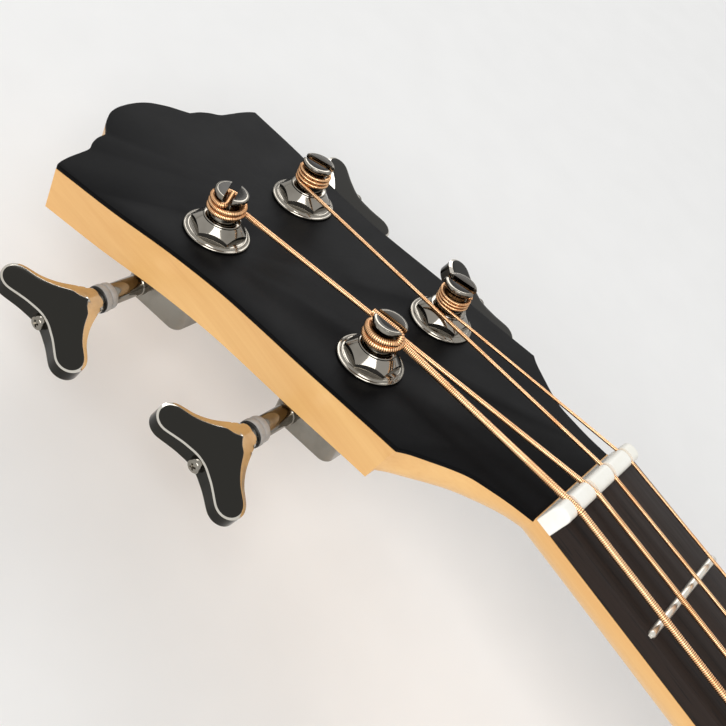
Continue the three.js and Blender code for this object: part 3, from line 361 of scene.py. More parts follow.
def startFinish(name):
    material = bpy.data.materials.new(name)
    material.use_nodes = True
    material.node_tree.nodes.clear()
    return material, Graph(material.node_tree)


def endFinish(material, graph, values, plain=None):
    shader = graph.node("ShaderNodeBsdfPrincipled", None, {**values, **(plain or {})})
    graph.node("ShaderNodeOutputMaterial", None, {"Surface": shader})
    return material


# Woods: fibres run along Y; pores and growth bands by real size

woodLooks = {
    "maple": {"light": "efc27e", "dark": "d59a56", "vein": "a96f38", "bands": 55, "fibres": 900,
              "along": 0.03, "pores": 0.0, "roughness": 0.4, "coat": 0.25, "grain": 0.3},
    "mapleRaw": {"light": "e2c698", "dark": "c7a26c", "vein": "9a7348", "bands": 60, "fibres": 900,
                 "along": 0.03, "pores": 0.0, "roughness": 0.7, "coat": 0.0, "grain": 0.35},
    "spruce": {"light": "e6bd7f", "dark": "cf9b57", "vein": "b27a3c", "bands": 420, "fibres": 1500,
               "along": 0.006, "pores": 0.0, "roughness": 0.36, "coat": 0.35, "grain": 0.7},
    "cedar": {"light": "d9b382", "dark": "b98a58", "vein": "95663a", "bands": 300, "fibres": 1300,
              "along": 0.02, "pores": 0.2, "roughness": 0.75, "coat": 0.0, "grain": 0.5},
    "mahogany": {"light": "7e4526", "dark": "56290f", "vein": "2f1509", "bands": 70, "fibres": 800,
                 "along": 0.035, "pores": 0.8, "roughness": 0.36, "coat": 0.4, "grain": 0.5},
    "mahoganySide": {"light": "7e4526", "dark": "56290f", "vein": "2f1509", "bands": 70, "fibres": 800,
                     "along": 0.035, "pores": 0.8, "roughness": 0.36, "coat": 0.4, "grain": 0.5,
                     "layer": "grain"},
    "mahoganyRaw": {"light": "a2704c", "dark": "83512f", "vein": "55321c", "bands": 80, "fibres": 800,
                    "along": 0.04, "pores": 0.7, "roughness": 0.75, "coat": 0.0, "grain": 0.5},
    "ebony": {"light": "2b1f19", "dark": "16100d", "vein": "0a0706", "bands": 130, "fibres": 1300,
              "along": 0.03, "pores": 0.7, "roughness": 0.5, "coat": 0.0, "grain": 0.6, "sheen": 0.2},
}


def makeWood(name, look):
    material, graph = startFinish(name)
    along, layer = look["along"], look.get("layer")
    place = graph.stretched((1, along, 1), layer=layer)
    bands = graph.noise(place, look["bands"], 3.0, 0.55, 0.4)
    fibres = graph.noise(place, look["fibres"], 2.0, 0.6)
    cloud = graph.noise(graph.stretched((1, 0.35, 1), layer=layer), 14.0, 2.0)
    tone = graph.spread(bands, 0.32, 0.68) * 0.6 + graph.spread(cloud, 0.3, 0.7) * 0.25
    tone = tone + graph.spread(fibres, 0.3, 0.7) * 0.15
    base = graph.mix(tone, colour(look["light"]), colour(look["dark"]))
    lines = graph.spread(bands, 0.56, 0.66) * graph.spread(fibres, 0.42, 0.62) * look["grain"]
    base = graph.mix(lines, base, colour(look["vein"]))
    specks = graph.noise(graph.stretched((1, along * 1.6, 1), layer=layer), 1500.0, 1.0)
    poreMask = graph.spread(specks, 0.62, 0.7)
    base = graph.mix(poreMask * look["pores"], base, colour(look["vein"]))
    rough = graph.spread(fibres, 0.25, 0.75, look["roughness"] - 0.06, look["roughness"] + 0.08)
    height = fibres * 0.4 - poreMask * look["pores"]
    return endFinish(material, graph, {
        "Base Color": base, "Roughness": rough, "Normal": graph.bump(height, 0.25, 0.06),
    }, {"Coat Weight": look["coat"], "Coat Roughness": 0.22, "Specular IOR Level": look.get("sheen", 0.5)})


# Metals: tone, fine wear and handling marks, with painted shade in the wound wire's grooves and painted dark
# reflections on flat faces of posts and keys

metalLooks = {
    # The two plain nickel tones are darker than bare nickel: a painted dark reflection in the base colour
    "nickel": {"tone": "8f8a81", "worn": "757067", "roughness": 0.08, "marks": 0.1, "scratch": 0.03},
    # The post face colour is a painted dark reflection on the flat tops of the ears
    "postNickel": {"tone": "8f8a81", "worn": "716c63", "roughness": 0.09, "marks": 0.08,
                   "scratch": 0.05, "face": "24221f", "faceFrom": (0.97, 1.03)},
    "frets": {"tone": "dcd8ce", "worn": "cfcabf", "roughness": 0.28, "marks": 0.05, "scratch": 0.03},
    # The bronze face colour is painted shade in the grooves between the wraps
    "bronze": {"tone": "ffcf9e", "worn": "efb27c", "roughness": 0.24, "marks": 0.12, "scratch": 0.1,
               "face": "3a1c0a", "faceFrom": (0.25, 0.85)},
    "steel": {"tone": "9a9a98", "worn": "77756f", "roughness": 0.38, "marks": 0.15, "scratch": 0.2},
    # The key face colour is a painted dark reflection on the flat faces and rim of the blade
    "keyNickel": {"tone": "d2cdc3", "worn": "b3aca0", "roughness": 0.08, "marks": 0.1, "scratch": 0.03,
                  "face": "32312e", "faceFrom": (0.97, 1.03)},
}


def makeMetal(name, look):
    material, graph = startFinish(name)
    place = graph.stretched((1, 1, 1))
    smudge = graph.noise(place, 90.0, 3.0, 0.6)
    fine = graph.noise(graph.stretched((1, 0.08, 1), (0.3, 0.5, 0.7)), 2600.0, 1.0)
    base = graph.mix(graph.spread(smudge, 0.42, 0.72), colour(look["tone"]), colour(look["worn"]))
    # A darker colour is painted where the marked attribute is high: painted shade in the wire's grooves,
    # painted dark reflection on flat faces
    if "face" in look:
        share = graph.node("ShaderNodeAttribute", {"attribute_name": "mark"}, out="Fac")
        base = graph.mix(graph.spread(share, *look["faceFrom"]), base, colour(look["face"]))
    rough = graph.spread(smudge, 0.35, 0.75, look["roughness"], look["roughness"] + look["marks"])
    return endFinish(material, graph, {
        "Base Color": base, "Roughness": rough, "Normal": graph.bump(fine, look["scratch"], 0.01),
    }, {"Metallic": 1.0})


# Moulded, lacquered and bone surfaces

softLooks = {
    "satinBlack": {"tone": "040405", "other": "080809", "size": 500.0, "roughness": 0.42, "marks": 0.08,
                   "bump": 0.04, "sheen": 0.06},
    "black": {"tone": "0b0b0b", "other": "151515", "size": 300.0, "roughness": 0.22, "marks": 0.1,
              "bump": 0.02},
    "bone": {"tone": "f9f8f2", "other": "f0ede1", "size": 130.0, "roughness": 0.32, "marks": 0.12,
             "bump": 0.05},
    "cream": {"tone": "ece0c2", "other": "dccaa2", "size": 60.0, "roughness": 0.3, "marks": 0.1,
              "bump": 0.02},
    "collar": {"tone": "aaa6a1", "other": "8f8b86", "size": 350.0, "roughness": 0.38, "marks": 0.1,
               "bump": 0.03},
    "pearl": {"tone": "e9e6dd", "other": "c8cfd0", "size": 450.0, "roughness": 0.18, "marks": 0.1,
              "bump": 0.02},
}


def makeSoft(name, look):
    material, graph = startFinish(name)
    place = graph.stretched((1, 1, 1))
    mottle = graph.noise(place, look["size"], 3.0, 0.6)
    wide = graph.noise(place, look["size"] / 8, 2.0)
    patches = graph.spread(mottle * 0.5 + wide * 0.5, 0.4, 0.62)
    base = graph.mix(patches, colour(look["tone"]), colour(look["other"]))
    rough = graph.spread(wide, 0.3, 0.7, look["roughness"], look["roughness"] + look["marks"])
    return endFinish(material, graph, {
        "Base Color": base, "Roughness": rough, "Normal": graph.bump(mottle, look["bump"], 0.05),
    }, {"Specular IOR Level": look.get("sheen", 0.5)})


finishes = {name: makeWood(name, look) for name, look in woodLooks.items()}
finishes.update({name: makeMetal(name, look) for name, look in metalLooks.items()})
finishes.update({name: makeSoft(name, look) for name, look in softLooks.items()})
print("finishes", len(finishes))


# Geometry trees: every size is a named input of its own

def newTree(name, inputs):
    tree = bpy.data.node_groups.new(name, "GeometryNodeTree")
    tree.interface.new_socket("Geometry", in_out="OUTPUT", socket_type="NodeSocketGeometry")
    tree.interface.new_socket("Geometry", in_out="INPUT", socket_type="NodeSocketGeometry")
    for label, kind in inputs:
        tree.interface.new_socket(label, in_out="INPUT", socket_type="NodeSocket" + kind)
    graph = Graph(tree)
    start = tree.nodes.new("NodeGroupInput")
    return tree, graph, {socket.name: Wire(graph, socket) for socket in start.outputs if socket.name}


def endTree(graph, geometry, finish):
    solid = graph.node("GeometryNodeRealizeInstances", None, {"Geometry": geometry})
    dressed = graph.node("GeometryNodeSetMaterial", None, {"Geometry": solid, "Material": finish})
    end = graph.tree.nodes.new("NodeGroupOutput")
    graph.tree.links.new(dressed.socket, end.inputs[0])


def runTree(obj, tree, values):
    change = obj.modifiers.new("shape", "NODES")
    change.node_group = tree
    for item in tree.interface.items_tree:
        if item.in_out == "INPUT" and item.name in values:
            change[item.identifier] = values[item.name]
    return applyModifiers(obj)


# A line of points as a mesh, for a tree to follow
def linePiece(name, points, place=None, closed=False):
    mesh = bpy.data.meshes.new(name)
    turn = place or Matrix.Identity(4)
    edges = [(k, k + 1) for k in range(len(points) - 1)]
    if closed:
        edges.append((len(points) - 1, 0))
    mesh.from_pydata([(turn @ Vector(p)) * mm for p in points], edges, [])
    obj = bpy.data.objects.new(name, mesh)
    bpy.context.scene.collection.objects.link(obj)
    return obj


def makeWoundTree():
    tree, graph, given = newTree("wound wire", [
        ("Thickness", "Float"), ("Wrap Pitch", "Float"), ("Wrap Depth", "Float"), ("Sides", "Int"),
        ("Finish", "Material"),
    ])
    line = graph.node("GeometryNodeMeshToCurve", None, {"Mesh": given["Geometry"]})
    line = graph.node("GeometryNodeResampleCurve", {"mode": "LENGTH"}, {
        "Curve": line, "Length": given["Wrap Pitch"] / 3,
    })
    index = graph.node("GeometryNodeInputIndex")
    valley = 1 - ((index % 3) > 0.5)  # every third ring lies in the groove between two wraps
    radius = given["Thickness"] / 2 - given["Wrap Depth"] * valley
    ring = graph.node("GeometryNodeCurvePrimitiveCircle", {"mode": "RADIUS"}, {
        "Resolution": given["Sides"], "Radius": 1.0,
    })
    # The groove rings are marked so that the bronze finish paints shade into them
    line = graph.node("GeometryNodeStoreNamedAttribute", {"data_type": "FLOAT", "domain": "POINT"}, {
        "Geometry": line, "Name": "mark", "Value": valley,
    })
    wire = graph.node("GeometryNodeCurveToMesh", None, {
        "Curve": line, "Profile Curve": ring, "Scale": radius, "Fill Caps": True,
    })
    endTree(graph, wire, given["Finish"])
    return tree


woundTree = makeWoundTree()
print("wound wire tree")

# Body

body = {
    "length": common["bodyLength"],
    "depth": common["bodyDepth"],
    "lowerBout": 350,
    "waist": 218,
    "upperBout": 262,
    "plate": 3,
    "side": 2.4,
    "bindingWidth": 1.6,
    "bindingHeight": 6,
    "purfling": 0.5,
    "soundHole": 45,
    "holePlace": 92,
    "outlineSteps": 240,
    "edgeSoftness": 0.7,
    "holeSteps": 120,
    "topSoftness": 0.35,
    "stripWidth": 3,
    "stripDepth": 0.8,
}
outlineShares = [
    (0, 0, "lowerBout"), (0.011, 0.36, "lowerBout"), (0.075, 0.76, "lowerBout"), (0.27, 1, "lowerBout"),
    (0.44, 0.868, "lowerBout"), (0.53, 0.7, "lowerBout"), (0.615, 1, "waist"), (0.7, 0.895, "upperBout"),
    (0.825, 1, "upperBout"), (0.925, 0.84, "upperBout"), (0.985, 0.47, "upperBout"), (1, 0, "upperBout"),
]


def bodyOutline():
    right = [(share * body[width] / 2, (along - 0.5) * body["length"], 0)
             for along, share, width in outlineShares]
    left = [(-x, y, z) for x, y, z in reversed(right[1:-1])]
    reach = (cadHigh[0] / mm, body["length"] / 2)
    return [(max(-reach[0], min(reach[0], p.x)), max(-reach[1], min(reach[1], p.y)))
            for p in curveThrough(right + left, body["outlineSteps"], True)]


outlinePoints = bodyOutline()


def insetOutline(inset):
    made = []
    total = len(outlinePoints)
    for i, (x, y) in enumerate(outlinePoints):
        before, after = outlinePoints[i - 1], outlinePoints[(i + 1) % total]
        along = Vector((after[0] - before[0], after[1] - before[1])).normalized()
        made.append((x - along.y * inset, y + along.x * inset))
    return made


# A profile of inset and height, carried round the body
def bodyBand(profile):
    rings = []
    rows = {inset: insetOutline(inset) for inset, z in profile}
    for i in range(len(outlinePoints)):
        rings.append([(*rows[inset][i], z) for inset, z in profile])
    return loft(rings, True)


# The side's grain runs round the outline, so it has coordinates of its own: along it, and up it
def wrapGrain(obj):
    lengths = [0.0]
    for a, b in zip(outlinePoints, outlinePoints[1:] + outlinePoints[:1]):
        lengths.append(lengths[-1] + math.dist(a, b))
    layer = obj.data.uv_layers.new(name="grain")
    total = len(outlinePoints)
    near = {}
    for vertex in obj.data.vertices:
        place = (vertex.co.x / mm, vertex.co.y / mm)
        near[vertex.index] = min(range(total), key=lambda k: math.dist(place, outlinePoints[k]))
    for face in obj.data.polygons:
        steps = [near[obj.data.loops[k].vertex_index] for k in face.loop_indices]
        over = max(steps) - min(steps) > total / 2
        for k, step in zip(face.loop_indices, steps):
            along = lengths[total] if over and step < total / 2 else lengths[step]
            height = obj.data.vertices[obj.data.loops[k].vertex_index].co.z
            layer.data[k].uv = (height, along * mm)


def makeSides():
    depth, edge, width = body["depth"], body["bindingHeight"], body["bindingWidth"]
    side, plate = body["side"], body["plate"]
    obj = newPiece("sides", *bodyBand([
        (0, edge), (0, depth - edge), (width, depth - edge), (width, depth - plate),
        (side, depth - plate), (side, plate), (width, plate), (width, edge),
    ]))
    finishPiece(obj, "mahoganySide", "mahogany", ("side_bass", "side_treble"))
    wrapGrain(obj)


def edgeBand(name, node, low, outer):
    high = low + body["bindingHeight"]
    soft = body["edgeSoftness"]
    top = high if outer > 0 else low
    base = low if outer > 0 else high
    width = body["bindingWidth"]
    lift = outer * soft
    profile = [(0, base), (0, top - lift), (soft * arcShare, top - lift * arcShare), (soft, top),
               (width, top), (width, base)]
    obj = newPiece(name, *bodyBand(profile))
    finishPiece(obj, "cream", "cream", (node,))
    line = body["purfling"]
    deep = top - outer * body["plate"] * 0.5
    first, middle, last = [
        bodyBand([(a, deep), (a, top), (a + line, top), (a + line, deep)])
        for a in (width, width + line, width + 2 * line)
    ]
    finishPiece(newPiece(name + "Lines", *joined([first, last])), "black", "black")
    finishPiece(newPiece(name + "MiddleLine", *middle), "cream", "cream")


def makePlates():
    inset = body["bindingWidth"] + 3 * body["purfling"]
    depth, plate = body["depth"], body["plate"]
    top = newPiece("soundboard", *slab(insetOutline(inset), depth - plate, depth))
    hole = slab(circle(body["soundHole"], body["holeSteps"]), depth - 2 * plate, depth + plate)
    combine(top, newPiece("hole", *moved(hole, Matrix.Translation((0, body["holePlace"], 0)))))
    softEdges(top, body["topSoftness"], 2, 60)
    finishPiece(top, "spruce", "spruce", ("top",))
    back = newPiece("backPlate", *slab(insetOutline(inset), 0, plate))
    finishPiece(back, "mahogany", "mahogany", ("back",))
    half = (body["stripWidth"] / 2, body["length"] / 2 - inset)
    strip = newPiece("backStrip", *slab(oblong((-half[0], -half[1]), half), -proud, body["stripDepth"]))
    finishPiece(softEdges(strip, proud, 1), "maple", "maple")


rosette = {
    "lines": [(48.4, 48.9), (49.4, 49.9), (53.3, 53.8), (54.3, 54.8)],
    "band": (49.9, 53.3),
    "proud": 0.03,
    "depth": 0.5,
    "steps": 144,
}


def flatRing(inner, outer):
    high = body["depth"] + rosette["proud"]
    low = high - rosette["depth"]
    return turned([(inner, low), (inner, high), (outer, high), (outer, low)], rosette["steps"])


def makeRosette():
    place = Matrix.Translation((0, body["holePlace"], 0))
    lines = joined([flatRing(*line) for line in rosette["lines"]])
    finishPiece(newPiece("rosetteLines", *lines, place), "black", "black")
    finishPiece(newPiece("rosetteBand", *flatRing(*rosette["band"]), place), "maple", "maple")


print("body outline", len(outlinePoints))
makeSides()
edgeBand("topEdge", "top_binding", body["depth"] - body["bindingHeight"], 1)
edgeBand("backEdge", "back_binding", 0, -1)
makePlates()
makeRosette()
print("body shell")


# Kerfed lining: blocks set along the inside of the body, on a thin strip
kerfing = {"pitch": 6.2, "cut": 1.1, "height": 14, "depth": 4.6, "strip": 1.2, "gap": 0.1}
stripOverlap = 1.02  # each length of the strip runs a little into the next


def makeKerfTree():
    tree, graph, given = newTree("kerfed lining", [
        ("Pitch", "Float"), ("Cut", "Float"), ("Height", "Float"), ("Depth", "Float"), ("Strip", "Float"),
        ("Finish", "Material"),
    ])
    line = graph.node("GeometryNodeMeshToCurve", None, {"Mesh": given["Geometry"]})
    places = graph.node("GeometryNodeResampleCurve", {"mode": "LENGTH"}, {
        "Curve": line, "Length": given["Pitch"],
    })
    along = graph.node("GeometryNodeInputTangent")
    turn = graph.node("FunctionNodeAlignRotationToVector", {"axis": "X"}, {"Vector": along})
    size = graph.node("ShaderNodeCombineXYZ", None, {
        "X": given["Pitch"] - given["Cut"], "Y": given["Depth"] - given["Strip"], "Z": given["Height"],
    })
    block = graph.node("GeometryNodeMeshCube", None, {"Size": size})
    aside = graph.node("ShaderNodeCombineXYZ", None, {"Y": given["Depth"] / 2})
    block = graph.node("GeometryNodeTransform", None, {"Geometry": block, "Translation": aside})
    blocks = graph.node("GeometryNodeInstanceOnPoints", None, {
        "Points": places, "Instance": block, "Rotation": turn,
    })
    stripSize = graph.node("ShaderNodeCombineXYZ", None, {
        "X": given["Pitch"] * stripOverlap, "Y": given["Strip"], "Z": given["Height"],
    })
    strip = graph.node("GeometryNodeMeshCube", None, {"Size": stripSize})
    shift = graph.node("ShaderNodeCombineXYZ", None, {"Y": given["Strip"] / 2})
    strip = graph.node("GeometryNodeTransform", None, {"Geometry": strip, "Translation": shift})
    strips = graph.node("GeometryNodeInstanceOnPoints", None, {
        "Points": places, "Instance": strip, "Rotation": turn,
    })
    both = graph.tree.nodes.new("GeometryNodeJoinGeometry")
    graph.tree.links.new(blocks.socket, both.inputs[0])
    graph.tree.links.new(strips.socket, both.inputs[0])
    endTree(graph, Wire(graph, both.outputs[0]), given["Finish"])
    return tree


def makeLinings():
    tree = makeKerfTree()
    inset = body["side"] + kerfing["gap"]
    depth, plate, high = body["depth"], body["plate"], kerfing["height"]
    for name, z, nodes in (
        ("backLining", plate + high / 2, ("back_lining_bass", "back_lining_treble")),
        ("topLining", depth - plate - high / 2, ("top_lining_bass", "top_lining_treble")),
    ):
        obj = linePiece(name, [(x, y, z) for x, y in insetOutline(inset)], None, True)
        runTree(obj, tree, {
            "Pitch": kerfing["pitch"] * mm, "Cut": kerfing["cut"] * mm, "Height": high * mm,
            "Depth": kerfing["depth"] * mm, "Strip": kerfing["strip"] * mm, "Finish": finishes["cedar"],
        })
        finishPiece(obj, "cedar", "cedar", nodes)


makeLinings()
print("linings")


# Bridge, saddle and pins

bridge = {
    "length": 152,
    "width": 38,
    "height": 8.5,
    "wingHeight": 3.5,
    "wingLength": 36,
    "scoop": 15,
    "front": saddleLine + 9,
    "pinLine": saddleLine - 17,
    "spacing": 18,
    "stringHeight": 11.4,
    "softness": 0.9,
    "corner": 6,
    "endDrop": 0.6,
    "endReach": 3,
    "steps": 90,
    "pinHole": [(3.1, -6), (3.3, 1)],
    "rampShare": 0.62,
    "rampDepth": 5.5,
    "rampLength": 7.5,
}
saddleSlot = {"length": 78.2, "width": 3.04, "depth": 4, "corner": 1.4}
saddleBar = {"length": 78, "thickness": 3, "foot": 4.6, "crown": 1.3,
             "endLength": 1.5, "endPull": 0.6, "endDrop": 1.4}


def makeBridge():
    rings = []
    half, wing, scoop = bridge["length"] / 2, bridge["wingLength"], bridge["scoop"]
    corner, soft, base = bridge["corner"], bridge["softness"], body["depth"]
    bend = soft * arcShare
    for k in range(bridge["steps"] + 1):
        along = 0.5 - 0.5 * math.cos(math.pi * k / bridge["steps"])
        x = -half + proud + (2 * half - 2 * proud) * along
        away = half - abs(x)
        rise = min(max((away - (wing - scoop / 2)) / scoop, 0), 1)
        share = rise ** 2 * (3 - 2 * rise)
        height = bridge["wingHeight"] + (bridge["height"] - bridge["wingHeight"]) * share
        pull = corner - math.sqrt(max(corner ** 2 - max(corner - away, 0) ** 2, 0))
        low, high = bridge["front"] - bridge["width"] + pull, bridge["front"] - pull
        top = base + height - bridge["endDrop"] * max(1 - away / bridge["endReach"], 0) ** 2
        rings.append([
            (x, low, base), (x, low, top - soft), (x, low + bend, top - bend), (x, low + soft, top),
            (x, high - soft, top), (x, high - bend, top - bend), (x, high, top - soft), (x, high, base),
        ])
    obj = newPiece("bridgeBlock", *loft(rings))
    top = body["depth"] + bridge["height"]
    pinLine = bridge["pinLine"]
    for k, string in enumerate(strings):
        x = stringX(k, bridge["spacing"], 0)
        hole = lathe(bridge["pinHole"], 32)
        combine(obj, newPiece("hole", *moved(hole, Matrix.Translation((x, pinLine, top)))))
        wide = string["diameter"] * bridge["rampShare"]
        ramp = newPiece("ramp", *loft([
            [(x - wide, y, z), (x + wide, y, z), (x + wide, y, top + 1), (x - wide, y, top + 1)]
            for y, z in ((pinLine, top - bridge["rampDepth"]), (pinLine + bridge["rampLength"], top - proud))
        ]))
        combine(obj, ramp)
    slot = roundedBar(saddleSlot["length"], saddleSlot["width"], top - saddleSlot["depth"], top + 2,
                      saddleLine, saddleSlot["corner"])
    combine(obj, newPiece("slot", *slot))
    finishPiece(obj, "ebony", "ebony", ("bridge",), angle=28)


# A bar across the centre line with half-round ends
def roundedBar(length, width, low, high, y, corner):
    points = []
    for sx, sy, first in ((1, 1, 0), (-1, 1, 90), (-1, -1, 180), (1, -1, 270)):
        for k in range(9):
            a = math.radians(first + k * 90 / 8)
            points.append((sx * (length / 2 - corner) + corner * math.cos(a),
                           y + sy * (width / 2 - corner) + corner * math.sin(a)))
    return slab(points, low, high)


def makeSaddle():
    crown, foot = saddleBar["crown"], body["depth"] + saddleBar["foot"]
    top = body["depth"] + bridge["stringHeight"] - proud - crown
    half = saddleBar["length"] / 2
    rings = []
    for k in range(41):
        x = -half + saddleBar["length"] * k / 40
        end = max(abs(x) - (half - saddleBar["endLength"]), 0) / saddleBar["endLength"]
        wide = saddleBar["thickness"] / 2 - saddleBar["endPull"] * end
        drop = saddleBar["endDrop"] * end ** 2
        ring = [(x, saddleLine - wide, foot)]
        for j in range(9):
            a = math.pi * (1 - j / 8)
            ring.append((x, saddleLine + wide * math.cos(a), top - drop + crown * math.sin(a)))
        ring.append((x, saddleLine + wide, foot))
        rings.append(ring)
    finishPiece(newPiece("saddleBar", *loft(rings)), "bone", "bone", ("saddle",))


# Profiles of radius and height over the face that each pin stands on
bridgePinProfile = [
    (tip, -22), (2.0, -22), (2.2, -21.5), (2.75, 0.05), (3.7, 0.05), (3.95, 0.4), (3.95, 1.2), (3.6, 1.55),
    (3.3, 1.75), (3.5, 2.2), (3.55, 2.7), (3.3, 3.4), (2.7, 3.95), (1.9, 4.25), (1.6, 4.3), (tip, 4.3),
]
pinDotProfile = [(tip, 4.2), (1.5, 4.2), (1.5, 4.32), (1.2, 4.42), (0.6, 4.48), (tip, 4.49)]
endPinProfile = [
    (tip, -20), (4.6, -20), (5, -19), (5, 0), (7.6, 0.05), (8, 0.5), (8, 1.6), (7.5, 2.3), (6, 2.7), (4.9, 3.6),
    (4.4, 5.5), (4.3, 7.6), (4.6, 9.6), (5.6, 11.2), (6.9, 12.1), (7.4, 12.9), (7.5, 13.9), (7.1, 14.8),
    (5.8, 15.5), (3.5, 15.85), (tip, 15.95),
]
endPinGap = 0.3


def makePins():
    top = body["depth"] + bridge["height"]
    for k, string in enumerate(strings):
        name = string["name"]
        place = Matrix.Translation((stringX(k, bridge["spacing"], 0), bridge["pinLine"], top))
        obj = newPiece("bridgePin_" + name, *lathe(bridgePinProfile, 40), place)
        finishPiece(obj, "black", "black", ("bridge_pin_" + name,))
        dot = newPiece("bridgePinDot_" + name, *lathe(pinDotProfile, 32), place)
        finishPiece(dot, "pearl", "cream")


def makeEndPin():
    place = Matrix.Translation((0, -body["length"] / 2 - endPinGap, body["depth"] / 2))
    place = place @ Matrix.Rotation(math.pi / 2, 4, "X")
    finishPiece(newPiece("endPin", *lathe(endPinProfile), place), "black", "black", ("end_pin",))


# Each string: its diameter, the wrap of its outer wire, its post and the turns on it
lowerPost = (18.13, 62.2)
upperPost = (20, 121.35)
strings = [
    {"name": "e", "diameter": 2.15, "wrap": 0.55, "side": -1, "post": lowerPost, "turns": 1.708, "low": 7.8,
     "slotHeight": 13.6, "end": 1.12, "sides": 12},
    {"name": "a", "diameter": 1.65, "wrap": 0.45, "side": -1, "post": upperPost, "turns": 2.5, "low": 7.8,
     "slotHeight": 12.4, "end": 0.6, "sides": 10},
    {"name": "d", "diameter": 1.25, "wrap": 0.38, "side": 1, "post": upperPost, "turns": 3.125, "low": 7.8,
     "slotHeight": 12.2, "end": 0.5, "sides": 8},
    {"name": "g", "diameter": 1.0, "wrap": 0.34, "side": 1, "post": lowerPost, "turns": 3.667, "low": 7.6,
     "slotHeight": 12.2, "end": 0.5, "sides": 8},
]
postShift = 0.95  # the set of posts sits this far to the treble side
stringing = {
    "nutSpacing": 10.93,
    "nutShift": 0.45,
    "nutHeight": 7.4,
    "turnGap": 0.04,
    "wrapDepth": 0.26,
    "turnSteps": 24,
    "stepsToSlot": 1.5,
    "pinRoute": [(2.6, -5), (3.0, -1.5), (4.4, 0.4)],  # past the pin, and over the bridge
    "saddleRoute": [(-1.2, -0.3), (0, 0.02), (1.3, 0)],  # past the saddle, and over its height
}


def stringX(k, spacing, shift):
    return (k - 1.5) * spacing + shift


makeBridge()
makeSaddle()
makePins()
makeEndPin()
print("bridge and pins")


def windingRadius(string):
    return posts["radius"] + stringing["turnGap"] + string["diameter"] / 2


def postPlace(string):
    return string["side"] * string["post"][0] + postShift, string["post"][1]


# Where a string leaves its winding, in the headstock's frame, and the angle of that point
def leavingPoint(k):
    string = strings[k]
    start = Matrix.Rotation(headTurn, 4, "X") @ Vector((
        stringX(k, stringing["nutSpacing"], stringing["nutShift"]), 0, stringing["nutHeight"]))
    centre = Vector(postPlace(string))
    toCentre = centre - start.xy
    radius = windingRadius(string)
    spread = math.asin(radius / toCentre.length)
    length = math.sqrt(toCentre.length_squared - radius ** 2)
    direction = Matrix.Rotation(string["side"] * spread, 2) @ toCentre.normalized()
    touch = start.xy + direction * length
    return touch, math.atan2(touch.y - centre.y, touch.x - centre.x)


def slotAngle(k):
    string, steps = strings[k], stringing["turnSteps"]
    count = round(string["turns"] * steps) + stringing["stepsToSlot"]
    return leavingPoint(k)[1] - string["side"] * 2 * math.pi * count / steps


# The speaking string, in the frame of the nut
def stringPath(k):
    string = strings[k]
    r = string["diameter"] / 2
    x = stringX(k, bridge["spacing"], 0)
    nutX = stringX(k, stringing["nutSpacing"], stringing["nutShift"])
    pinLine = bridge["pinLine"] - nutPlace.y
    saddle = saddleLine - nutPlace.y
    touch = leavingPoint(k)[0]
    last = Matrix.Rotation(-headTurn, 4, "X") @ Vector((touch.x, touch.y, string["low"]))
    front = Vector((nutX, -common["nutThickness"], stringing["nutHeight"] + r))
    back = front + (last - front) * (common["nutThickness"] / (last.y - front.y))
    high = bridge["stringHeight"] + r
    ramp = [Vector((x, pinLine + away + r, bridge["height"] + rise)) for away, rise in stringing["pinRoute"]]
    crown = [Vector((x, saddle + away, high + rise)) for away, rise in stringing["saddleRoute"]]
    return ramp + crown + [front, back, last]


# The winding, in the headstock's frame: round the post and up, then into the slot
def windingPath(k):
    string = strings[k]
    centre = Vector((*postPlace(string), 0))
    radius = windingRadius(string)
    steps = stringing["turnSteps"]
    count = round(string["turns"] * steps)
    start = leavingPoint(k)[1]
    made = []
    for j in range(2 * count + 1):
        a = start - string["side"] * 2 * math.pi * j / (2 * steps)
        z = string["low"] + (j / (2 * steps)) * (string["diameter"] + stringing["turnGap"])
        made.append(centre + Vector((math.cos(a) * radius, math.sin(a) * radius, z)))
    last, top = made[-1].z, string["slotHeight"]
    slot = slotAngle(k)
    bend = [(0.9, 0.985, 0.3), (0.35, 0.9, 0.62), (0.06, 0.7, 0.88), (0, 0.3, 1), (0, -0.1, 1),
            (0, -string["end"], 1)]
    tail = []
    for turn, share, rise in bend:
        a = slot + string["side"] * turn * 2 * math.pi / steps
        z = last + (top - last) * rise
        tail.append(centre + Vector((math.cos(a) * radius * share, math.sin(a) * radius * share, z)))
    return made[:-4] + curveThrough(made[-4:] + tail, 30)


def makeStrings():
    for k, string in enumerate(strings):
        values = {
            "Thickness": string["diameter"] * mm, "Wrap Pitch": string["wrap"] * mm,
            "Wrap Depth": string["wrap"] * stringing["wrapDepth"] * mm, "Sides": string["sides"],
            "Finish": finishes["bronze"],
        }
        name = string["name"]
        obj = linePiece("string_wire_" + name, stringPath(k), nutFrame)
        finishPiece(runTree(obj, woundTree, values), "bronze", "bronze", ("string_" + name,), angle=75)
        obj = linePiece("winding_wire_" + name, windingPath(k), headFrame)
        finishPiece(runTree(obj, woundTree, values), "bronze", "bronze", ("winding_" + name,),
                    "post_body_" + name, angle=75)


# Neck, in the frame of the nut

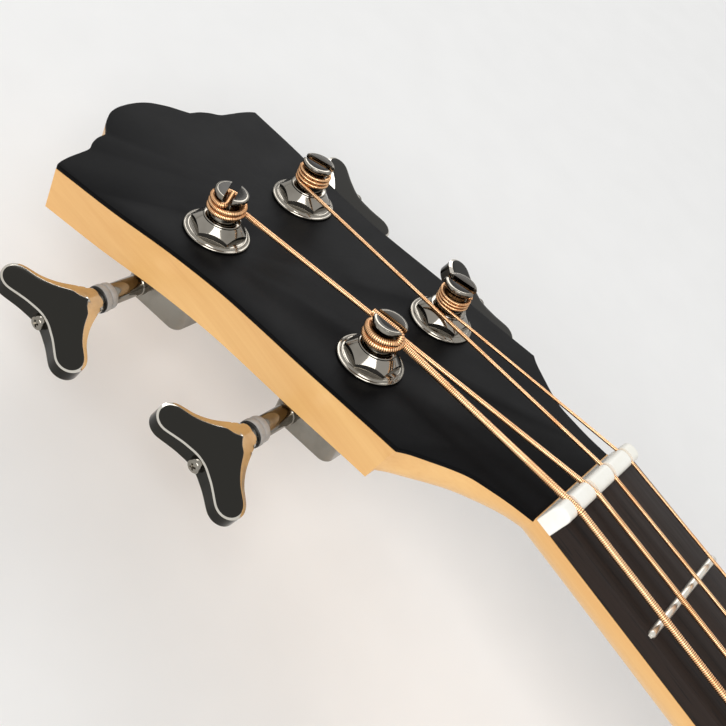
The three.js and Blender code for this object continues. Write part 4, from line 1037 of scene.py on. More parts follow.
neck = {
    "depthAtNut": 14.2,
    "depthAtHeel": 17.5,
    "heelFoot": 92,
    "heelPastFoot": 14,
    "heelFootLength": 10,
    "heelLength": 66,
    "squareness": 2.2,
    "headSquareness": 7.3,
    "headThickness": 15,
    "overlay": 1.5,
    "postHole": 6.5,
    "intoBody": 4,
    "pastCorner": 0.2,
    "overlaySoftness": 0.22,
    "overlayGap": 0.3,
    "cutHalf": 90,
    "cutReach": 700,
}
flareShares = [
    (0, 0), (0.2, 0.05), (0.39, 0.14), (0.52, 0.22), (0.65, 0.38), (0.8, 0.62), (0.93, 0.84), (1, 1),
]
heelShares = [(0, 0.96), (0.08, 0.74), (0.17, 0.5), (0.3, 0.27), (0.48, 0.11), (0.72, 0.03), (1, 0)]
heelEnd = -common["nutThickness"] - fretReach


def smoothTable(table, count):
    return [(p.x, p.y) for p in curveThrough([(x, y, 0) for x, y in table], count)]


def boardHalfWidth(y):
    taper = (common["bodyFretWidth"] - common["nutWidth"]) / 2 / fretReach
    return common["nutWidth"] / 2 + taper * max(-common["nutThickness"] - y, 0)


def neckDepth(y):
    share = min(max((-common["nutThickness"] - y) / fretReach, 0), 1)
    return neck["depthAtNut"] + (neck["depthAtHeel"] - neck["depthAtNut"]) * share


def neckRing(y, halfWidth, top, depth, squareness, steps=40):
    ring = []
    for j in range(steps + 1):
        a = math.pi * j / steps
        c, s = math.cos(a), math.sin(a)
        across = math.copysign(abs(c) ** (2 / squareness), c)
        ring.append((halfWidth * across, y, top - depth * abs(s) ** (2 / squareness)))
    return ring


# Shares of the half width and of the length beyond the flare: up the side, in to the crown, and over it
headSideShares = [
    (None, 0), (0.85, 0.0704), (0.848, 0.2336), (0.838, 0.3718), (0.838, 0.4472), (0.863, 0.5502),
    (0.889, 0.6143), (0.947, 0.7236), (1, 0.8794),
]
headShoulderShares = [
    (1, 0.8794), (0.956, 0.885), (0.86, 0.8913), (0.756, 0.8948), (0.659, 0.8995), (0.592, 0.9133),
    (0.517, 0.9234), (0.422, 0.9284),
]
headCrownShares = [
    (0.422, 0.9284), (0.371, 0.9447), (0.318, 0.9623), (0.26, 0.9761), (0.195, 0.9887), (0.1, 0.9975), (0, 1),
]


def headOutline():
    beyond = common["headLength"] - common["flareStart"]
    right = []
    for table, count in ((headSideShares, 40), (headShoulderShares, 24), (headCrownShares, 24)):
        sized = [(common["flareHalfWidth"] if across is None else across * common["headHalfWidth"],
                  common["flareStart"] + along * beyond, 0) for across, along in table]
        right += [(p.x, p.y) for p in curveThrough(sized, count)][1 if right else 0:]
    return right + [(-x, y) for x, y in reversed(right[:-1])]


# The four holes for the posts, through what lies in the headstock's frame or is turned into it
def drillPosts(obj, turn, low):
    for string in strings:
        hole = lathe([(neck["postHole"], low), (neck["postHole"], 4)], 40)
        place = turn @ Matrix.Translation((*postPlace(string), 0))
        combine(obj, newPiece("hole", *moved(hole, place)))


def makeNeck():
    corner = common["flareStart"] * math.cos(headTurn)
    headDepth = neck["headThickness"] / math.cos(headTurn)
    heelDepth = neck["heelFoot"] + neck["heelPastFoot"]
    square = neck["squareness"]
    rings = [neckRing(heelEnd - neck["intoBody"], boardHalfWidth(heelEnd), 0, heelDepth, square)]
    for along, share in smoothTable(heelShares, 26):
        y = heelEnd + neck["heelFootLength"] + along * (neck["heelLength"] - neck["heelFootLength"])
        depth = neckDepth(y) + share * (heelDepth - neckDepth(y))
        rings.append(neckRing(y, boardHalfWidth(y), 0, depth, square))
    straight = fretReach + common["nutThickness"] - neck["heelLength"] - 0.5
    for k in range(1, 13):
        y = heelEnd + neck["heelLength"] + k / 12 * straight
        rings.append(neckRing(y, boardHalfWidth(y), 0, neckDepth(y), square))
    for along, share in smoothTable(flareShares, 40):
        halfWidth = common["nutWidth"] / 2 + share * (common["flareHalfWidth"] - common["nutWidth"] / 2)
        depth = neck["depthAtNut"] + (headDepth - neck["depthAtNut"]) * min(along * 2, 1)
        squarer = square + (neck["headSquareness"] - square) * along ** 2
        y = along * corner
        rings.append(neckRing(y, halfWidth, -y * math.tan(headTurn), depth, squarer))
    y = corner + neck["pastCorner"]
    rings.append(neckRing(y, common["flareHalfWidth"] - 0.05, -y * math.tan(headTurn), headDepth - 0.05,
                          neck["headSquareness"]))
    obj = newPiece("neckWood", *loft(rings))
    turn = Matrix.Rotation(-headTurn, 4, "X")
    edge = headOutline()
    foot = [(-edge[0][0], common["flareStart"] - 2), (edge[0][0], common["flareStart"] - 2)]
    head = newPiece("head", *slab(foot + edge, -neck["headThickness"], 0), turn)
    # Big blocks cut the head off behind its corner, clear its face for the overlay and level the heel
    half, reach = neck["cutHalf"], neck["cutReach"]
    combine(head, newPiece("behind", *slab(oblong((-half, -half), (half, corner)), -half, half)))
    combine(obj, head, "UNION")
    facing = slab(oblong((-half, neck["overlayGap"]), (half, reach)), -neck["overlay"], half)
    combine(obj, newPiece("facing", *facing, turn))
    under = slab(oblong((-half, -reach), (half, 0)), -heelDepth - half, -neck["heelFoot"])
    combine(obj, newPiece("under", *under))
    drillPosts(obj, turn, -neck["headThickness"] - 2)
    seatPiece(obj, nutFrame, "maple", "maple", ("neck",), angle=24)


def makeOverlay():
    widening = common["flareHalfWidth"] - common["nutWidth"] / 2
    flare = [(common["nutWidth"] / 2 + share * widening, along * common["flareStart"])
             for along, share in smoothTable(flareShares, 30)][1:-1]
    right = [(common["nutWidth"] / 2, neck["overlayGap"])] + flare
    outline = right + headOutline() + [(-x, y) for x, y in reversed(right)]
    obj = newPiece("headFacing", *slab(outline, -neck["overlay"] + proud, 0))
    drillPosts(obj, Matrix.Identity(4), -4)
    softEdges(obj, neck["overlaySoftness"], 2, 50)
    seatPiece(obj, headFrame, "satinBlack", "black", ("head_overlay",), angle=30)


fingerboard = {
    "softness": 0.5, "dots": [3, 5, 7, 9, 12, 15], "double": 12, "dotDepth": 0.6,
    "dotRadius": 2.6, "dotProud": 0.02, "dotsAside": 9,
    "sideDotRadius": 1, "sideDotProud": 0.03, "sideDotsAside": 3,
}


def fretLine(number):
    return -common["nutThickness"] - common["openString"] * (1 - 2 ** (-number / 12))


# One dot, or two beside the double fret, each moved aside along the given direction
def dots(number, radius, low, high, segments, place, aside):
    disc = lathe([(tip, low), (radius, low), (radius, high), (tip, high)], segments)
    shifts = (-1, 1) if number == fingerboard["double"] else (0,)
    return [moved(disc, Matrix.Translation(Vector(aside) * shift) @ place) for shift in shifts]


def makeFingerboard():
    end = heelEnd - common["boardOverhang"]
    soft, high = fingerboard["softness"], common["boardThickness"]
    bend = soft * arcShare
    rings = []
    for k in range(25):
        y = end + (-common["nutThickness"] - end) * k / 24
        w = boardHalfWidth(y)
        rings.append([
            (-w, y, proud), (-w, y, high - soft), (-w + bend, y, high - bend), (-w + soft, y, high),
            (w - soft, y, high), (w - bend, y, high - bend), (w, y, high - soft), (w, y, proud),
        ])
    obj = newPiece("fingerboardSlab", *loft(rings), nutFrame)
    finishPiece(softEdges(obj, 0.15, 1, 60), "ebony", "ebony", ("fingerboard",), angle=28)
    faceDots, sideDots = [], []
    for number in fingerboard["dots"]:
        y = (fretLine(number) + fretLine(number - 1)) / 2
        deep, aside, sideAside = (fingerboard[word] for word in ("dotDepth", "dotsAside", "sideDotsAside"))
        faceDots += dots(number, fingerboard["dotRadius"], high - deep, high + fingerboard["dotProud"], 40,
                         Matrix.Translation((0, y, 0)), (aside, 0, 0))
        place = Matrix.Translation((-boardHalfWidth(y), y, high / 2))
        place = place @ Matrix.Rotation(-math.pi / 2, 4, "Y")
        sideDots += dots(number, fingerboard["sideDotRadius"], -deep, fingerboard["sideDotProud"], 24,
                         place, (0, sideAside, 0))
    finishPiece(newPiece("fingerboardDots", *joined(faceDots), nutFrame), "pearl", "cream")
    finishPiece(newPiece("fingerboardSideDots", *joined(sideDots), nutFrame), "pearl", "cream")


frets = {"count": 18, "width": 2.3, "height": 1.1, "inset": 0.15, "endSlope": 0.5}
fretSteps = 61  # points along one fret, of which the first and last are drawn in


def makeFretTree():
    tree, graph, given = newTree("frets", [
        ("Count", "Int"), ("Open String", "Float"), ("Nut Width", "Float"), ("Widening", "Float"),
        ("Width", "Float"), ("Height", "Float"), ("Inset", "Float"), ("End Slope", "Float"),
        ("Finish", "Material"),
    ])
    row = graph.node("GeometryNodeMeshLine", None, {"Count": given["Count"], "Offset": (0.0, 0.0, 0.0)})
    number = graph.node("GeometryNodeInputIndex") + 1
    reach = given["Open String"] * (1 - 2 ** (number * (-1 / 12)))
    place = graph.node("ShaderNodeCombineXYZ", None, {"Y": reach * -1})
    row = graph.node("GeometryNodeSetPosition", None, {"Geometry": row, "Position": place})
    length = given["Nut Width"] + reach * given["Widening"] - given["Inset"] * 2
    scale = graph.node("ShaderNodeCombineXYZ", None, {"X": length, "Y": 1.0, "Z": 1.0})
    bar = graph.node("GeometryNodeCurvePrimitiveLine", None, {"Start": (-0.5, 0, 0), "End": (0.5, 0, 0)})
    bar = graph.node("GeometryNodeResampleCurve", {"mode": "COUNT"}, {"Curve": bar, "Count": fretSteps})
    index = graph.node("GeometryNodeInputIndex")
    ends = (1 - (index > 0.5)) + (index > fretSteps - 1.5)
    ring = graph.node("GeometryNodeCurvePrimitiveCircle", {"mode": "RADIUS"}, {
        "Resolution": 20, "Radius": 1.0,
    })
    bar = graph.node("GeometryNodeCurveToMesh", None, {
        "Curve": bar, "Profile Curve": ring, "Scale": 1 - ends * given["End Slope"], "Fill Caps": True,
    })
    shape = graph.node("ShaderNodeCombineXYZ", None, {
        "X": 1.0, "Y": given["Width"] / 2, "Z": given["Height"],
    })
    bar = graph.node("GeometryNodeTransform", None, {"Geometry": bar, "Scale": shape})
    bars = graph.node("GeometryNodeInstanceOnPoints", None, {
        "Points": row, "Instance": bar, "Scale": scale,
    })
    endTree(graph, bars, given["Finish"])
    return tree


def makeFrets():
    obj = linePiece("fretWires", [(0, 0, 0)])
    widening = (common["bodyFretWidth"] - common["nutWidth"]) / fretReach
    runTree(obj, makeFretTree(), {
        "Count": frets["count"], "Open String": common["openString"] * mm,
        "Nut Width": common["nutWidth"] * mm, "Widening": widening,
        "Width": frets["width"] * mm, "Height": frets["height"] * mm,
        "Inset": frets["inset"] * mm, "End Slope": frets["endSlope"], "Finish": finishes["frets"],
    })
    place = nutPlace + Vector((0, -common["nutThickness"], common["boardThickness"] - proud))
    obj.data.transform(Matrix.Translation(place * mm))
    finishPiece(obj, "frets", "nickel", (), angle=50)


nut = {
    "height": 8.9, "round": 2.4, "endRound": 0.9, "endPull": 0.4, "fullness": 0.8,
    "slotPlay": 0.12, "slotReach": 12, "roomReach": 6, "roomHeight": 9,
}


def makeNut():
    half, thick = common["nutWidth"] / 2, common["nutThickness"]
    bend, full = nut["endRound"], nut["fullness"]
    rings = []
    for k in range(61):
        x = -half + 2 * half * (0.5 - 0.5 * math.cos(math.pi * k / 60))
        end = min(half - abs(x), bend)
        drop = bend - math.sqrt(max(bend ** 2 - (bend - end) ** 2, 0))
        pull = drop * nut["endPull"]
        shoulder = nut["height"] - nut["round"] - drop
        ring = [(x, -thick + pull, proud)]
        for j in range(17):
            a = math.pi * (1 - j / 16)
            across = (thick / 2 - pull) * math.copysign(abs(math.cos(a)) ** full, math.cos(a))
            rise = nut["round"] * math.sin(a) ** full if 0 < j < 16 else 0
            ring.append((x, -thick / 2 + across, shoulder + rise))
        ring.append((x, -pull, proud))
        rings.append(ring)
    obj = newPiece("nutBar", *loft(rings))
    for k, string in enumerate(strings):
        front, back = stringPath(k)[6:8]
        along = (back - front).normalized()
        wide = string["diameter"] / 2 + nut["slotPlay"]
        turn = along.to_track_quat("Z", "Y").to_matrix().to_4x4()
        slot = lathe([(wide, -nut["slotReach"]), (wide, nut["slotReach"])], 28)
        place = Matrix.Translation((front + back) / 2) @ turn
        combine(obj, newPiece("slot", *moved(slot, place)))
        rows = [front - along * nut["roomReach"], back + along * nut["roomReach"]]
        room = loft([[(p.x + x, p.y, p.z + z) for x, z in oblong((-wide, 0), (wide, nut["roomHeight"]))]
                     for p in rows])
        combine(obj, newPiece("room", *room))
    seatPiece(obj, nutFrame, "bone", "bone", ("nut",), angle=35)


posts = {
    "radius": 4, "height": 14.9, "slotWidth": 2.9, "slotDepth": 4.6, "foot": -23.3, "softness": 0.16,
    "profile": [(4, 9.5), (3.8, 10.3), (3.72, 11.3), (3.85, 12.1), (4.25, 12.8), (4.75, 13.3), (5, 13.7),
                (5, 14.45), (4.85, 14.75), (4.5, 14.9)],
    # Inside the top rim the flat top gets a painted dark reflection
    "topRim": 4.2, "rimLine": 0.03,
}
wheel = {"teeth": 20, "tip": 6.3, "root": 5.1, "thickness": 3.4, "depth": 21}
bushing = {
    "profile": [(4.2, -14.9), (6.4, -14.9), (6.4, 0.02), (9.85, 0.02), (9.95, 0.14), (9.95, 0.62), (9.8, 0.82),
                (9.5, 0.86), (9.35, 0.78), (9.2, 0.82), (9.0, 1.1), (8.75, 1.28), (8.5, 1.32), (8.42, 1.26),
                (8.42, 2.5), (5.75, 5.15), (5.6, 5.35), (5.6, 5.75), (5.45, 5.95), (5.2, 6.0), (4.6, 6.0),
                (4.2, 5.8)],
    "flats": 14.6, "flatsFrom": 1.3, "flatsTo": 9, "around": 12, "softness": 0.12,
}


def machinePlace(string, mirrored):
    place = headFrame @ Matrix.Translation((*postPlace(string), 0))
    if mirrored and string["side"] > 0:
        place = place @ Matrix.Diagonal((-1, 1, 1, 1))
    return place


def gear(low, high):
    outline = []
    for k in range(wheel["teeth"]):
        for share, edge in ((-0.3, "root"), (-0.12, "tip"), (0.12, "tip"), (0.3, "root")):
            radius = wheel[edge]
            a = 2 * math.pi * (k + share) / wheel["teeth"]
            outline.append((radius * math.cos(a), radius * math.sin(a)))
    return slab(outline, low, high)


def makePosts():
    height, rim, line, half = posts["height"], posts["topRim"], posts["rimLine"], posts["slotWidth"] / 2
    slotLow, past = height - posts["slotDepth"] + half, 9
    turns = [math.pi * j / 12 for j in range(13)]
    arc = [(-half * math.cos(a), slotLow - half * math.sin(a)) for a in turns]
    arc = [(-half, slotLow + past)] + arc + [(half, slotLow + past)]
    profile = [(tip, posts["foot"]), (posts["radius"], posts["foot"])] + posts["profile"]
    profile += [(rim + line, height), (rim - line, height), (tip, height)]
    for k, string in enumerate(strings):
        name = string["name"]
        obj = newPiece("post_pin_" + name, *lathe(profile, 72))
        turn = Matrix.Rotation(slotAngle(k), 4, "Z")
        combine(obj, newPiece("slot", *loft([[(x, y, z) for y, z in arc] for x in (-past, past)]), turn))
        softEdges(obj, posts["softness"], 2, 50)
        layer = obj.data.attributes.new("mark", "FLOAT", "POINT")  # the flat tops inside their rims, marked for a painted dark reflection
        for vertex, mark in zip(obj.data.vertices, layer.data):
            inside = vertex.co.xy.length < rim * mm and vertex.co.z > (height - line) * mm
            mark.value = 2 if inside else 0
        low = -wheel["depth"] - wheel["thickness"] / 2
        combine(obj, newPiece("teeth", *gear(low, low + wheel["thickness"])), "UNION")
        seatPiece(obj, machinePlace(string, False), "postNickel", "nickel",
                  ("post_" + name,), "post_body_" + name, angle=30)


def makeBushings():
    corner = bushing["flats"] / 2 / math.cos(math.pi / 6)
    around, low, high = bushing["around"], bushing["flatsFrom"], bushing["flatsTo"]
    for string in strings:
        name = string["name"]
        obj = newPiece("bushing_nut_" + name, *turned(bushing["profile"], 96))
        cutter = newPiece("cutter", *slab(circle(around, 48), low, high))
        combine(cutter, newPiece("hexagon", *slab(circle(corner, 6), 0, around)))
        combine(obj, cutter)
        softEdges(obj, bushing["softness"], 2, 28)
        seatPiece(obj, machinePlace(string, True), "nickel", "nickel", ("bushing_" + name,), angle=26)


gearing = {"aside": 8.4, "depth": 21, "wormRadius": 2.85, "wheelRadius": 6.35, "play": 0.6, "bore": 1.85}
housing = {
    "outer": 15.2, "inner": 9.5, "corner": 3, "wall": 1.8, "neck": 11.4, "soft": 0.8, "top": -15.05,
    "barrel": [(tip, 8), (3.4, 8), (3.4, 15.6), (3.3, 16.2), (3.05, 16.5), (3.1, 17.2)],
    "cavityLow": 2.9, "cavityHigh": -14, "wormHalf": 4,
}


# Frame of a worm: outward along the key's shaft is Z
def shaftPlace():
    turn = Matrix.Rotation(-math.pi / 2, 4, "Y")
    return Matrix.Translation((0, gearing["aside"], -gearing["depth"])) @ turn


def makeHousings():
    depth, play, wall, r = gearing["depth"], gearing["play"], housing["wall"], housing["corner"]
    wheelRoom, wormRoom = gearing["wheelRadius"] + play, gearing["wormRadius"] + play
    left, right = -housing["outer"] + r, housing["inner"] - r
    front, back = -wheelRoom - wall + r, gearing["aside"] + wormRoom + wall - r
    outline = []
    for cx, cy, first in ((right, back, 0), (left, back, 90), (left, front, 180), (right, front, 270)):
        for t in range(11):
            a = math.radians(first + t * 9)
            outline.append((cx + r * math.cos(a), cy + r * math.sin(a)))
    end = housing["outer"] + housing["neck"]
    barrel = housing["barrel"] + [(3.1, end - 0.5), (2.9, end - 0.1), (2.4, end), (tip, end)]
    worm, bore = housing["wormHalf"], gearing["bore"]
    for string in strings:
        case = slab(outline, -depth - wormRoom - wall, housing["top"])
        obj = newPiece("housing_case_" + string["name"], *case)
        softEdges(obj, housing["soft"], 3, 50)
        combine(obj, newPiece("barrel", *moved(lathe(barrel, 48), shaftPlace())), "UNION")
        cavity = lathe([(wheelRoom, -depth - housing["cavityLow"]), (wheelRoom, housing["cavityHigh"])], 48)
        combine(obj, newPiece("cavity", *cavity))
        for profile in ([(wormRoom, -worm), (wormRoom, worm)], [(bore, -worm - 1), (bore, end + worm)]):
            combine(obj, newPiece("bore", *moved(lathe(profile, 32), shaftPlace())))
        seatPiece(obj, machinePlace(string, True), "nickel", "nickel",
                  ("housing_" + string["name"],), angle=30)


# Profiles of radius and distance along the shaft
collar = [
    (1.85, 26.9), (3.5, 26.9), (3.8, 27.05), (3.9, 27.35), (3.9, 28.5), (3.8, 28.8), (3.6, 28.95),
    (3.6, 29.15), (3.85, 29.25), (4.05, 29.4), (4.1, 29.7), (4.1, 30.75), (4.0, 31.1), (3.75, 31.3),
    (3.0, 31.3), (2.9, 31.1), (1.85, 31.1),
]
# A thin black disc at the collar's near end: painted shade on that face
shadowDisc = [(1.85, 31.28), (4.0, 31.28), (4.02, 31.34), (4.02, 31.42), (3.95, 31.5), (1.85, 31.5)]
screw = {
    "start": 51.8, "reach": 53.5, "cross": 0.6, "crossAngle": 0.4, "softness": 0.06,
    "crossShape": [(0.35, -1.2), (1.35, 0.3)],  # half length of the recess, and place from the face
}
worm = {
    "shaft": [(tip, -4.6), (1.2, -4.6), (1.2, -2.9), (1.75, -2.9), (1.75, 2.9), (1.7, 3)], "neck": 1.7,
    "tooth": [(1.6, -0.4), (2.8, -0.18), (2.8, 0.18), (1.6, 0.4)],
    "low": -2.83, "length": 5.65, "turns": 3, "steps": 24,
}


def makeCollars():
    for string in strings:
        name, place = string["name"], machinePlace(string, True) @ shaftPlace()
        obj = newPiece("collar_ring_" + name, *turned(collar, 64), place)
        finishPiece(obj, "collar", "grey", ("collar_" + name,))
        # The black disc is painted shade at the collar's near face
        obj = newPiece("collar_washer_" + name, *turned(shadowDisc, 64), place)
        finishPiece(obj, "black", "black")


def makeWorms():
    s, e, c = screw["start"], screw["reach"], screw["cross"] / 2
    shaft = worm["shaft"] + [
        (worm["neck"], s), (2.05, s), (2.15, s + 0.15), (2.15, e - 0.85), (2.07, e - 0.5), (1.85, e - 0.25),
        (1.4, e - 0.1), (0.8, e), (tip, e),
    ]
    recess = loft([[(x, y, e + z) for x, y in oblong((-w, -c), (w, c))] for w, z in screw["crossShape"]])
    thread, count = [], worm["turns"] * worm["steps"]
    for k in range(count + 1):
        a = 2 * math.pi * k / worm["steps"]
        z = worm["low"] + worm["length"] * k / count
        thread.append([(r * math.cos(a), r * math.sin(a), z + rise) for r, rise in worm["tooth"]])
    for string in strings:
        name = string["name"]
        obj = newPiece("worm_shaft_" + name, *lathe(shaft, 48))
        for turn in (0, math.pi / 2):
            combine(obj, newPiece("recess", *recess, Matrix.Rotation(turn + screw["crossAngle"], 4, "Z")))
        softEdges(obj, screw["softness"], 1, 45)
        combine(obj, newPiece("thread", *loft(thread)), "UNION")
        seatPiece(obj, machinePlace(string, True) @ shaftPlace(), "nickel", "nickel",
                  ("worm_" + name,), "key_body_" + name, angle=30)


key = {
    "inner": 31.6, "length": 24.7, "span": 34.8, "tilt": 18.5, "hub": 3.05, "hubRise": 0.15, "hubBlend": 8,
    "faceHeight": 3.75, "taper": 0.08, "taperFrom": 5,
    "bore": 1.74,
    # Width of the slope by share of the length, and how far a slope of a width drops
    "slopes": [(0, 5.4), (0.1, 4.7), (0.138, 4.25), (0.165, 3.7), (0.2, 3.25), (0.22, 2.8), (0.3, 2.3),
               (0.4, 2), (0.66, 1.1), (0.83, 0.7), (1, 0.45)],
    "drops": [(0.4, 0.2), (0.7, 0.34), (2, 0.9), (3, 1.2), (5.4, 1.3)],
}
keyShares = [
    (0, 0.206), (0.056, 0.209), (0.117, 0.231), (0.177, 0.27), (0.258, 0.332), (0.339, 0.401), (0.419, 0.484),
    (0.5, 0.589), (0.56, 0.691), (0.605, 0.794), (0.649, 0.886), (0.702, 0.954), (0.766, 0.994), (0.831, 1),
    (0.895, 0.977), (0.952, 0.92), (0.988, 0.84), (1, 0.76), (0.992, 0.674), (0.964, 0.583), (0.927, 0.48),
    (0.887, 0.36), (0.859, 0.251), (0.835, 0.149), (0.824, 0.07), (0.819, 0),
]


# Half the outline from the hub round the lobe to the hollow, with the width of the slope along it
def keyEdge():
    half = key["span"] / 2
    edge = curveThrough([(key["inner"] + a * key["length"], b * half, 0) for a, b in keyShares], 120)
    far = max(range(len(edge)), key=lambda k: edge[k].x)
    shares = [(edge[min(k, far)].x - key["inner"]) / key["length"] for k in range(len(edge))]
    return edge, [valueAt(key["slopes"], share) for share in shares]


# How deep a place lies in the slope, from 0 at the blade's edge to 1 at the flat face, and the slope's width
def keyInset(place, edge, widths):
    found = (9, 1)
    for k in range(len(edge) - 1):
        a, b = edge[k], edge[k + 1]
        share = min(max((place - a).dot(b - a) / (b - a).length_squared, 0), 1)
        width = widths[k] + (widths[k + 1] - widths[k]) * share
        found = min(found, ((place - a.lerp(b, share)).length / width, width))
    return found


# Half the thickness of the blade at a place: a round hub that runs into a flat face with sloped edges
def keyHeight(place, edge, widths):
    along = place.x - key["inner"]
    inset, width = keyInset(place, edge, widths)
    drop = max(1 - inset, 0) * valueAt(key["drops"], width)
    blade = key["faceHeight"] - key["taper"] * max(along - key["taperFrom"], 0) - drop
    share = min(max(along / key["hubBlend"], 0), 1)
    if share == 1:
        return blade
    half = valueAt([(p.x - key["inner"], p.y) for p in edge[:40]], along)
    power = 2 + 6 * share
    curve = max(1 - min(place.y / half, 1) ** power, 0) ** (1 / power)
    share = share * share * (3 - 2 * share)
    return min((key["hub"] + key["hubRise"] * along) * (curve + (1 - curve) * share), blade)


def spaced(line, count, gather=1):
    lengths = [0]
    for a, b in zip(line, line[1:]):
        lengths.append(lengths[-1] + (b - a).length)
    made, k = [], 0
    for j in range(count + 1):
        want = lengths[-1] * (1 - (1 - j / count) ** gather)
        while k < len(line) - 2 and lengths[k + 1] < want:
            k += 1
        made.append(line[k].lerp(line[k + 1], (want - lengths[k]) / (lengths[k + 1] - lengths[k])))
    return made


# How far along the line from a to b the slope at a ends
def slopeEnd(a, b, edge, widths, start=0.0, stop=0.5):
    for step in range(12):
        middle = (start + stop) / 2
        if keyInset(a.lerp(b, middle), edge, widths)[0] < 1:
            start = middle
        else:
            stop = middle
    return start


# Rows across half a blade, from its inner edge to the middle line and then to its outer edge
def keyRows():
    edge, widths = keyEdge()
    far = max(range(len(edge)), key=lambda k: edge[k].x)
    middle = spaced([Vector((key["inner"], 0, 0)), edge[-1]], 36)
    outer = middle + spaced(edge[far:][::-1], 48, 1.35)[1:]
    rows = []
    for a, b in zip(spaced(edge[:far + 1], 84, 1.35), outer):
        near, end, stop = 0.3, 0.3, 0.5 if keyInset(b, edge, widths)[0] < 0.01 else 1
        if (b - a).length > 1e-6 and keyInset(a.lerp(b, stop), edge, widths)[0] > 1:
            near = slopeEnd(a, b, edge, widths, 0, stop)
            end = slopeEnd(b, a, edge, widths) if stop < 1 else min(0.08, (1 - near) / 2)
        crisp = 0.04 * min(near, (1 - near) / 2)
        shares = [0, near * 0.06, near * 0.5, near - crisp, near + crisp]
        last = [1 - end * s for s in (1.04, 0.96, 0.5, 0.06, 0)]
        shares += [shares[-1] + (last[0] - shares[-1]) * j / 6 for j in range(1, 6)] + last
        places = [a.lerp(b, s) for s in shares]
        rows.append([Vector((p.x, p.y, keyHeight(p, edge, widths))) for p in places])
    return rows


# One quad of the rim as three, with a row close to each arris
def wall(points, quad):
    a, b, c, d = quad
    e = len(points)
    for top, low in ((a, d), (b, c)):
        x, y, z = points[top]
        inset = math.copysign(min(0.1, abs(z) / 2), z)
        points += [(x, y, z - inset), (x, y, points[low][2] + inset)]
    return [(a, b, e + 2, e), (e, e + 2, e + 3, e + 1), (e + 1, e + 3, c, d)]


def keyBlade():
    rows = keyRows()
    points, faces = [], []
    width = len(rows[0])
    for side in (1, -1):
        for top in (1, -1):
            first = len(points)
            points += [(p.x, p.y * side, p.z * top) for row in rows for p in row]
            for j in range(len(rows) - 1):
                for i in range(width - 1):
                    a = first + j * width + i
                    faces.append((a, a + 1, a + width + 1, a + width))
    step = len(rows) * width
    for half in (0, 2 * step):
        for i in (0, width - 1):
            for j in range(len(rows) - 1):
                a = half + j * width + i
                if i == 0 or rows[j + 1][i].y > 1e-6:
                    faces += wall(points, (a, a + width, a + width + step, a + step))
        for i in range(width - 1):
            faces.append((half + i, half + i + 1, half + i + 1 + step, half + i + step))
    return [Vector((z, y, x)) for x, y, z in points], faces


# For the finish of a key: over 1 on the flat faces and on the rim, where the finish paints a dark reflection
def paintBladeReflection(obj):
    edge, widths = keyEdge()
    turn = Matrix.Rotation(math.radians(key["tilt"]), 4, "Z")
    layer = obj.data.attributes.new("mark", "FLOAT", "POINT")
    for vertex, mark in zip(obj.data.vertices, layer.data):
        p = turn @ vertex.co / mm
        place = Vector((p.z, abs(p.y), 0))
        mark.value = keyInset(place, edge, widths)[0]
        if mark.value < 0.04 and abs(p.x) < keyHeight(place, edge, widths) - 0.05:
            mark.value = 2


def makeKeys():
    first = newPiece("key_blade", *moved(keyBlade(), Matrix.Rotation(-math.radians(key["tilt"]), 4, "Z")))
    bore = [(key["bore"], key["inner"] - 2), (key["bore"], key["inner"] + key["length"])]
    combine(first, newPiece("bore", *lathe(bore, 32)))
    cleanMesh(first)
    paintBladeReflection(first)
    for string in strings:
        name = string["name"]
        obj = bpy.data.objects.new("key_blade_" + name, first.data.copy())
        bpy.context.scene.collection.objects.link(obj)
        seatPiece(obj, machinePlace(string, True) @ shaftPlace(), "keyNickel", "nickel",
                  ("key_" + name,), "key_body_" + name, angle=20)
    bpy.data.objects.remove(first)


makeStrings()
print("strings")
makeNeck()
makeOverlay()
makeFingerboard()
makeFrets()
makeNut()
print("neck")
makeBushings()
makePosts()
makeHousings()
makeCollars()
makeWorms()
makeKeys()
print("tuning machines")

# Solids that stay as they are: what stands inside the body
insideFinish = {
    "neck_block": "mahoganyRaw", "tail_block": "mahoganyRaw", "x_brace": "cedar", "upper_brace": "cedar",
    "back_bracing": "cedar", "bridge_plate": "mapleRaw", "truss_rod": "steel",
}
for name, finish in insideFinish.items():
    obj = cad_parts[name]
    for slot in obj.material_slots:
        slot.material = finishes[finish]
    if not obj.material_slots:
        obj.data.materials.append(finishes[finish])

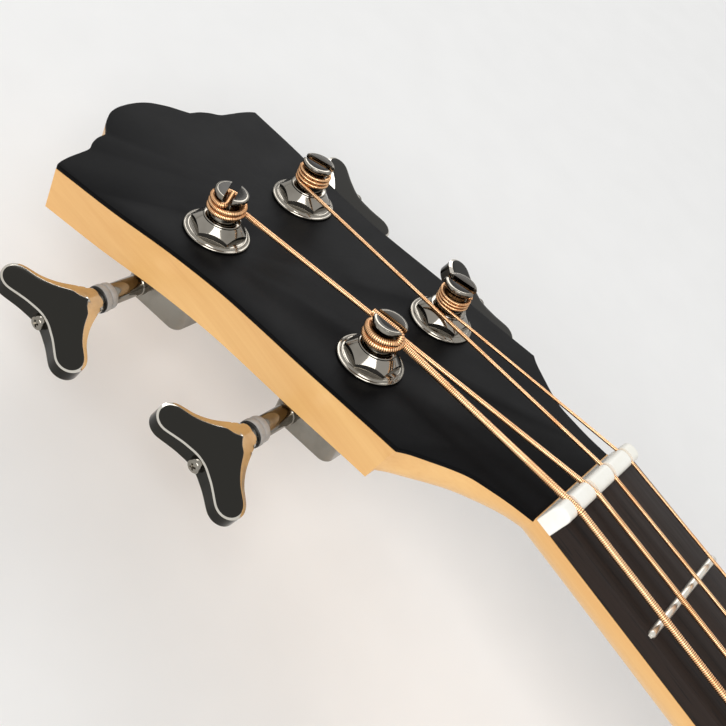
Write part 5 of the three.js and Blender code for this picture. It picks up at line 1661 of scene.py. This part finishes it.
# Camera, floor and light
camera = {
    "place": (-0.263507767, 0.567062601, 0.296863907),
    "turn": (0.8680835, 0.1888831, -0.3722024, -0.2687370),
    "lens": 59.51,
}
eye = bpy.data.objects.new("camera", bpy.data.cameras.new("camera"))
eye.location = camera["place"]
eye.rotation_mode = "QUATERNION"
eye.rotation_quaternion = Quaternion(camera["turn"])
eye.data.lens = camera["lens"]
eye.data.sensor_width = 36
eye.data.clip_start = 0.01
bpy.context.scene.collection.objects.link(eye)
bpy.context.scene.camera = eye

floorMaterial, graph = startFinish("paleFloor")
grainy = graph.noise(graph.stretched((1, 1, 1)), 40.0, 2.0)
endFinish(floorMaterial, graph, {
    "Base Color": graph.mix(grainy, colour("f4f4f3"), colour("efefee")), "Roughness": 0.9,
})
ground = {"half": 6000, "top": -0.5, "bottom": -20}
corners = oblong((-ground["half"], -ground["half"]), (ground["half"], ground["half"]))
floor = newPiece("floor", *slab(corners, ground["bottom"], ground["top"]))
floor.data.materials.append(floorMaterial)


def softLamp(name, place, aim, size, power, tint=(1, 1, 1)):
    data = bpy.data.lights.new(name, "AREA")
    data.shape = "RECTANGLE"
    data.size, data.size_y = size
    data.energy = power
    data.color = tint
    obj = bpy.data.objects.new(name, data)
    obj.location = place
    obj.rotation_euler = (Vector(aim) - Vector(place)).to_track_quat("-Z", "Y").to_euler()
    bpy.context.scene.collection.objects.link(obj)


softLamp("keyLamp", (-1.4, 0.2, 1.3), (0, 0.4, 0.05), (1.2, 1.2), 26)
softLamp("rimLamp", (1.2, 1.6, 1.2), (0, 0.5, 0.05), (0.9, 0.9), 10)
world = bpy.data.worlds.new("studio")
bpy.context.scene.world = world
world.use_nodes = True
world.node_tree.nodes.clear()
sky = Graph(world.node_tree)
path = world.node_tree.nodes.new("ShaderNodeLightPath")
seen = Wire(sky, path.outputs["Is Camera Ray"]) + Wire(sky, path.outputs["Is Glossy Ray"])
seen = seen + Wire(sky, path.outputs["Is Transmission Ray"])
strength = sky.spread(seen, 0.0, 1.0, 0.45, 0.92)
light = sky.node("ShaderNodeBackground", None, {"Color": (1, 1, 1, 1), "Strength": strength})
sky.node("ShaderNodeOutputWorld", None, {"Surface": light})
bpy.context.scene.view_settings.view_transform = "Standard"
